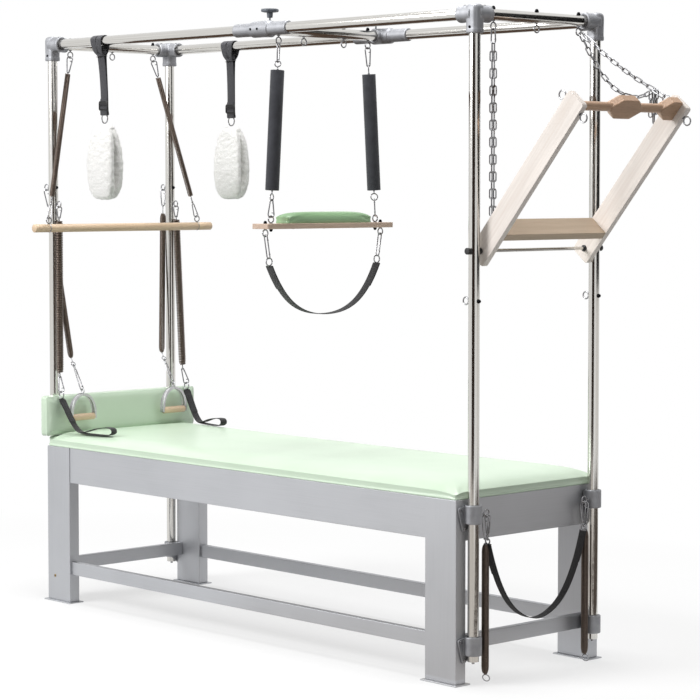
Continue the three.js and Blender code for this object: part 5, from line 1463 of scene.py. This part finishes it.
# %% Cuffs
def value_noise(points, scale, seed):
    """Smooth random values between lattice points, from a fixed hash of their whole coordinates."""
    place = points / scale
    cell = np.floor(place).astype(np.int64)
    share = place - cell
    share = share * share * (3 - 2 * share)
    total = np.zeros(len(points))
    for corner in np.ndindex(2, 2, 2):
        key = (cell + corner) @ np.array([73856093, 19349663, 83492791]) + seed * 9781
        value = np.abs(np.sin(key * 12.9898) * 43758.5453) % 1.0
        weight = np.prod(np.where(corner, share, 1 - share), axis=1)
        total += weight * value
    return total


def cuff_surface(x, y, around=280, section=130):
    """centre(a) + w(a) · across + t(b) · outward, for a round the loop and b round the section. The
    loop is pressed nearly flat: its half depth goes with |sin a| to the power 0.6 and is fullest at two
    thirds of the way down, and the section is a superellipse."""
    a = np.arange(around) * 2 * np.pi / around
    b = np.arange(section) * 2 * np.pi / section
    middle, thick = (CUFF_TOP + CUFF_LOW) / 2, 19.5
    tall = (CUFF_TOP - CUFF_LOW) / 2 - thick - 1.5
    down = (1 - np.cos(a)) / 2
    deep = 22.0 * (1 - 0.9 * (down - 0.68) ** 2)
    side = np.sign(np.sin(a)) * np.abs(np.sin(a)) ** 0.6
    centre = np.stack([np.full(around, x - BED_TO_FRAME), y * POST_Y + deep * side,
                       middle + tall * np.cos(a)], -1)
    along = np.roll(centre, -1, 0) - np.roll(centre, 1, 0)
    outward = np.cross(along, X)
    outward /= np.linalg.norm(outward, axis=1, keepdims=True)
    outward *= np.sign(np.sum(outward[0] * Z))
    wide = 77 * (1 - 0.75 * (down - 0.62) ** 2) * (1 - 0.16 * np.cos(a) ** 8)
    u = np.sign(np.cos(b)) * np.abs(np.cos(b)) ** 0.55
    v = np.sign(np.sin(b)) * np.abs(np.sin(b)) ** 0.75
    return (centre[:, None] + (wide[:, None] * u)[..., None] * X
            + (thick * v)[None, :, None] * outward[:, None])


TUFTS = ((13.0, 3, 2.4), (6.5, 5, 2.2), (2.8, 8, 0.9))


def woolly(points):
    """Pushes a closed grid out along its normals by tufts about thirteen, six and three millimetres wide."""
    down = np.roll(points, -1, 0) - np.roll(points, 1, 0)
    across = np.roll(points, -1, 1) - np.roll(points, 1, 1)
    normal = np.cross(across, down)
    normal /= np.linalg.norm(normal, axis=2, keepdims=True)
    flat = points.reshape(-1, 3)
    lump = sum(value_noise(flat, size, seed) * height for size, seed, height in TUFTS)
    return points + normal * (lump.reshape(points.shape[:2])[..., None] - 2.4)


for (y, side), x in zip(SIDES, CUFF_X):
    surface = woolly(cuff_surface(x, y)) * MM
    made = piece(f"cuff_{side}_fleece", [skin(surface, wrap_rows=True)], FLEECE, f"cuff_line_{side}",
                 [f"cuff_{side}"], smooth=180)
print("cuffs done")

# %% [markdown]
# ## Push-through bar
# Two plywood arms turn on a rod between the right posts. A shelf joins them near the rod, and a turned
# handle joins their outer ends. The handle carries two bevelled boards, a long one near its middle and
# one at its far end, both flat outlines with a thickness.

# %% Push-through bar
PIVOT_Z, LEAN = 1426, math.radians(49.8)
ALONG = np.array([math.cos(LEAN), 0, math.sin(LEAN)])
UPPER = np.array([-math.sin(LEAN), 0, math.cos(LEAN)])
ARM_Y, ARM_THICK, ARM_WIDE, ARM_REACH, ARM_HEEL = 254, 22, 80, 638, 36


def arm_point(along, upward, y):
    return at(POST_X, y, PIVOT_Z) + (along * ALONG + upward * UPPER) * MM


pivot = at(POST_X, 0, PIVOT_Z)
steel = [rod(pivot - 0.3255 * Y, pivot + 0.3255 * Y, 6 * MM, 28, 0.001)]
black = []
for y in (-1, 1):
    for low, high, radius in ((313.8, 329.5, 11), (265.3, 275.2, 11), (238.5, 242.7, 11)):
        black.append(rod(pivot + y * low * MM * Y, pivot + y * high * MM * Y, radius * MM, 32, 0.0012))
piece("pivot_rod_steel", steel, STEEL, "table", ["pivot_rod"])
piece("pivot_bushes", black, BLACK, "table")
for y, side in SIDES:
    outline = rounded_outline((ARM_REACH + ARM_HEEL) * MM, ARM_WIDE * MM, 0.009)
    middle = arm_point((ARM_REACH - ARM_HEEL) / 2, 0, y * ARM_Y)
    piece(f"push_arm_{side}_board", [plate(outline, ARM_THICK * MM, middle, (ALONG, UPPER, -Y))], PLY,
          "push_bar", [f"push_bar_arm_{side}"], bevel=0.0018, bevel_steps=3)
piece("push_shelf_board", [slab(mm(26, 485.4, 80), arm_point(90, 0, 0), (ALONG, Y, UPPER), grain=1)],
      SHADED_SHELF, "push_bar", ["push_bar_shelf"], bevel=0.002, bevel_steps=3)
metal = []
for y in (-1, 1):
    for edge in (-1, 1):
        heart = arm_point(602, 0, y * ARM_Y)
        metal += eye_bolt(heart, edge * UPPER, ALONG, 40, radius=14, shank=4)[0]
piece("push_arm_eyes", metal, PLATE, "push_bar")
HANDLE_REACH, HANDLE_END, BEVEL, HALF_BOARD = 606, 242.7, 38, 37.5
bar = [rod(arm_point(HANDLE_REACH, 0, -HANDLE_END), arm_point(HANDLE_REACH, 0, HANDLE_END), 15 * MM, 40)]
boards = []
for stations in ([(-89, 7.5), (-89 + BEVEL, HALF_BOARD), (63 - BEVEL, HALF_BOARD), (63, 7.5)],
                 [(HANDLE_END - 84, 7.5), (HANDLE_END - 84 + BEVEL, HALF_BOARD), (HANDLE_END, HALF_BOARD)]):
    outline = np.array([(y, -half) for y, half in stations] + stations[::-1]) * MM
    boards.append(plate(outline, 34 * MM, arm_point(HANDLE_REACH, 0, 0), (Y, ALONG, -UPPER)))
piece("push_handle_bar", bar, SHADED_BEECH, "push_bar", ["push_bar_handle"])
piece("push_handle_boards", boards, SHADED_BEECH, "push_bar", smooth=25, bevel=0.0055, bevel_steps=4)
print("push-through bar done")

# %% [markdown]
# ## Chains
# A chain is one link repeated: a long loop of wire, each a quarter turn from the next. Their centres
# lie at equal steps along the chain's line, a link's inner length apart.

# %% Chains
LINK_PITCH, LINK_WIRE, LINK_HALF = 28.0, 2.4, 6.4


def chain_skins(path, across):
    """Links at equal arc lengths along a dense path; every other one is turned by a quarter."""
    run = run_along(path)
    count = max(1, round(run[-1] / (LINK_PITCH * MM)))
    pitch = run[-1] / count
    made = []
    for i in range(count):
        middle, ahead = (np.array([np.interp((i + share) * pitch, run, path[:, axis]) for axis in range(3)])
                         for share in (0.5, 0.9))
        along = unit(ahead - middle)
        side = unit(across - along * (across @ along))
        third = np.cross(along, side)
        turn = math.pi / 4 + (i % 2) * math.pi / 2
        side = side * math.cos(turn) + third * math.sin(turn)
        reach = pitch / 2 + LINK_WIRE * MM - LINK_HALF * MM
        outline, normal = loop_path(middle - along * reach, middle + along * reach, side,
                                    (LINK_HALF * MM,) * 2, 8)
        made.append(sweep(outline, circle(LINK_WIRE * MM, 8), normal, closed=True))
    return made


def bow(start, end, sag, steps=80):
    """start + t · (end − start), lowered by 4 · sag · t · (1 − t)."""
    t = np.linspace(0, 1, steps)[:, None]
    return start + t * (end - start) - 4 * sag * MM * t * (1 - t) * Z


metal = clip(at(POST_X, -208, 2145), at(POST_X, -208, 2101), X, (HOLD, 0), (8, 10))
for x in (1152.5, 1163.5):
    metal += chain_skins(bow(at(x, -208, 2102), at(x, -208, 1541.3), 0), X)
piece("loose_chain_links", metal, PLATE, "table", ["loose_chain"])
top, hook = at(1167.3, 209.2, 2150.7), at(1203.5, 214.1, 2126.1)
low_hook, arm_eye = at(1455.1, 247.7, 1955.2), at(1491.3, 252.5, 1930.7)
metal = clip(top, hook, FACING, (HOLD, HOLD), (8, 9))
metal += clip(low_hook, arm_eye, FACING, (HOLD, HOLD), (8, 8))
metal += chain_skins(bow(hook, low_hook, 10), Y)
metal += chain_skins(bow(top, at(1446.0, 246.0, 1948.0), 88), Y)
for x, y, drop in ((1448, 242, 84), (1457, 247, 104), (1463, 252, 74)):
    metal += chain_skins(bow(at(x, y, 1950), at(x - 2, y, 1950 - drop), 0), unit((1, x % 3, 0)))
piece("holding_chain_links", metal, PLATE, ("table", "push_bar", tuple(top), tuple(arm_eye)),
      ["holding_chain"])
piece("tower_screws", black_screws, BLACK_METAL, "table")
print("chains done")

# %% [markdown]
# ## Floor and light
# The floor and the world are pale. The world gives soft light from all round, and three large lamps
# model the forms. For the camera, glossy and clear rays the background is white, while the floor still
# takes the table's shadow.

# %% Floor and light
SKY_LIGHT = 0.2
FLOOR_REACH = 30.0


def seen_directly(add):
    """1 for camera, glossy and clear rays, and 0 for the rest."""
    rays = add("ShaderNodeLightPath").outputs
    glossy = add("ShaderNodeMath", {0: rays["Is Glossy Ray"], 1: rays["Is Transmission Ray"]},
                 operation="MAXIMUM")
    return add("ShaderNodeMath", {0: rays["Is Camera Ray"], 1: glossy.outputs[0]},
               operation="MAXIMUM").outputs[0]


def sheet(name, half_u, half_v):
    """A flat four-cornered piece of the stage, about the origin."""
    mesh = bpy.data.meshes.new(name)
    mesh.from_pydata([(-half_u, -half_v, 0), (half_u, -half_v, 0), (half_u, half_v, 0),
                      (-half_u, half_v, 0)], [], [(0, 1, 2, 3)])
    return put(name, mesh)


def studio():
    world = bpy.data.worlds.new("studio")
    bpy.context.scene.world = world
    world.use_nodes = True
    nodes, add = world.node_tree.nodes, adder(world.node_tree)
    light, white = nodes["Background"], add("ShaderNodeBackground", {"Color": (1, 1, 1, 1)})
    light.inputs["Color"].default_value = (1, 1, 1, 1)
    light.inputs["Strength"].default_value = SKY_LIGHT
    blend = add("ShaderNodeMixShader", {0: seen_directly(add), 1: light.outputs[0], 2: white.outputs[0]})
    world.node_tree.links.new(blend.outputs[0], nodes["World Output"].inputs["Surface"])


def lamp(name, place, target, size, watts):
    data = bpy.data.lights.new(name, "AREA")
    data.shape, data.size, data.size_y, data.energy = "RECTANGLE", size[0], size[1], watts
    made = put(name, data)
    made.location = place
    made.rotation_euler = (Vector(target) - Vector(place)).to_track_quat("-Z", "Y").to_euler()


def pale_floor():
    floor = sheet("floor", FLOOR_REACH, FLOOR_REACH)
    coat = Finish("pale_floor", 0.9, more={"Base Color": (0.4, 0.4, 0.4, 1)})
    add = coat.add
    away = add("ShaderNodeVectorMath", {0: coat.place((0.45, 0.62, 0))}, operation="LENGTH")
    share = add("ShaderNodeMapRange", {"Value": away.outputs["Value"], "From Min": 0.8, "From Max": 1.7,
                                       "To Min": 0.66, "To Max": 1.0})
    glow = add("ShaderNodeEmission", {"Color": (1, 1, 1, 1), "Strength": 1.0})
    white = add("ShaderNodeBsdfDiffuse", {"Color": (0.95, 0.95, 0.95, 1)})
    shown = add("ShaderNodeMixShader", {0: share.outputs[0], 1: white.outputs[0], 2: glow.outputs[0]})
    mixed = add("ShaderNodeMixShader", {0: seen_directly(add), 1: coat.shader.outputs[0],
                                        2: shown.outputs[0]})
    coat.tree.links.new(mixed.outputs[0], coat.tree.nodes["Material Output"].inputs["Surface"])
    floor.data.materials.append(coat.material)


def flag(name, place, target, size, tone):
    """A card that only gloss sees. Cards of several tones put the streaks on the polished steel."""
    card = sheet(name, size[0] / 2, size[1] / 2)
    turn = (Vector(target) - Vector(place)).to_track_quat("Z", "Y").to_matrix().to_4x4()
    card.data.transform(Matrix.Translation(place) @ turn)
    made = bpy.data.materials.new(name)
    made.use_nodes = True
    glow = adder(made.node_tree)("ShaderNodeEmission", {"Color": linear(*tone)})
    made.node_tree.links.new(glow.outputs[0], made.node_tree.nodes["Material Output"].inputs["Surface"])
    card.data.materials.append(made)
    for ray in ("camera", "diffuse", "transmission", "volume_scatter", "shadow"):
        setattr(card, f"visible_{ray}", False)


# Brown strips just below the rails, seen only by gloss: painted reflection that darkens the rails'
# undersides.
UNDER_RAIL_REFLECTION_TONE = (0.36, 0.30, 0.26)
studio()
lamp("key", (-2.2, -6.0, 4.4), (0, 0, 1.0), (3.4, 2.6), 415)
lamp("top", (0.0, 0.0, 5.5), (0, 0, 0.6), (3.4, 2.4), 212)
lamp("end", (5.0, 2.5, 3.4), (0.6, 0, 1.0), (2.4, 2.4), 42)
flag("dark_wall", (2.4, -2.9, 1.3), (1.0, -0.2, 1.2), (3.2, 3.6), (0.20, 0.165, 0.145))
flag("dark_floor", (1.2, -2.4, 0.02), (1.2, -2.4, 2.0), (3.2, 5.0), (0.86, 0.84, 0.82))
flag("end_floor", (2.6, 1.2, 0.02), (2.6, 1.2, 2.0), (2.6, 3.6), (0.34, 0.31, 0.29))
flag("grey_end", (4.2, 2.6, 1.4), (0.9, 0.2, 1.2), (5.2, 3.6), (0.92, 0.91, 0.90))
flag("dark_top", (2.7, 1.2, 2.35), (1.2, -0.3, 2.2), (3.0, 2.2), (0.03, 0.028, 0.026))
for name, x, y, size in (("under_rail_front", 0, -POST_Y, (2.1, 0.36)),
                         ("under_rail_back", 0, POST_Y, (2.1, 0.36)),
                         ("under_cross_rail", POST_X + 60, 0, (0.3, 0.5))):
    flag(name, tuple(at(x, y, 1950)), tuple(at(x, y, 2500)), size, UNDER_RAIL_REFLECTION_TONE)
pale_floor()
bpy.context.scene.view_settings.view_transform = "Standard"
print("stage", sorted(lamp_data.name for lamp_data in bpy.data.lights))
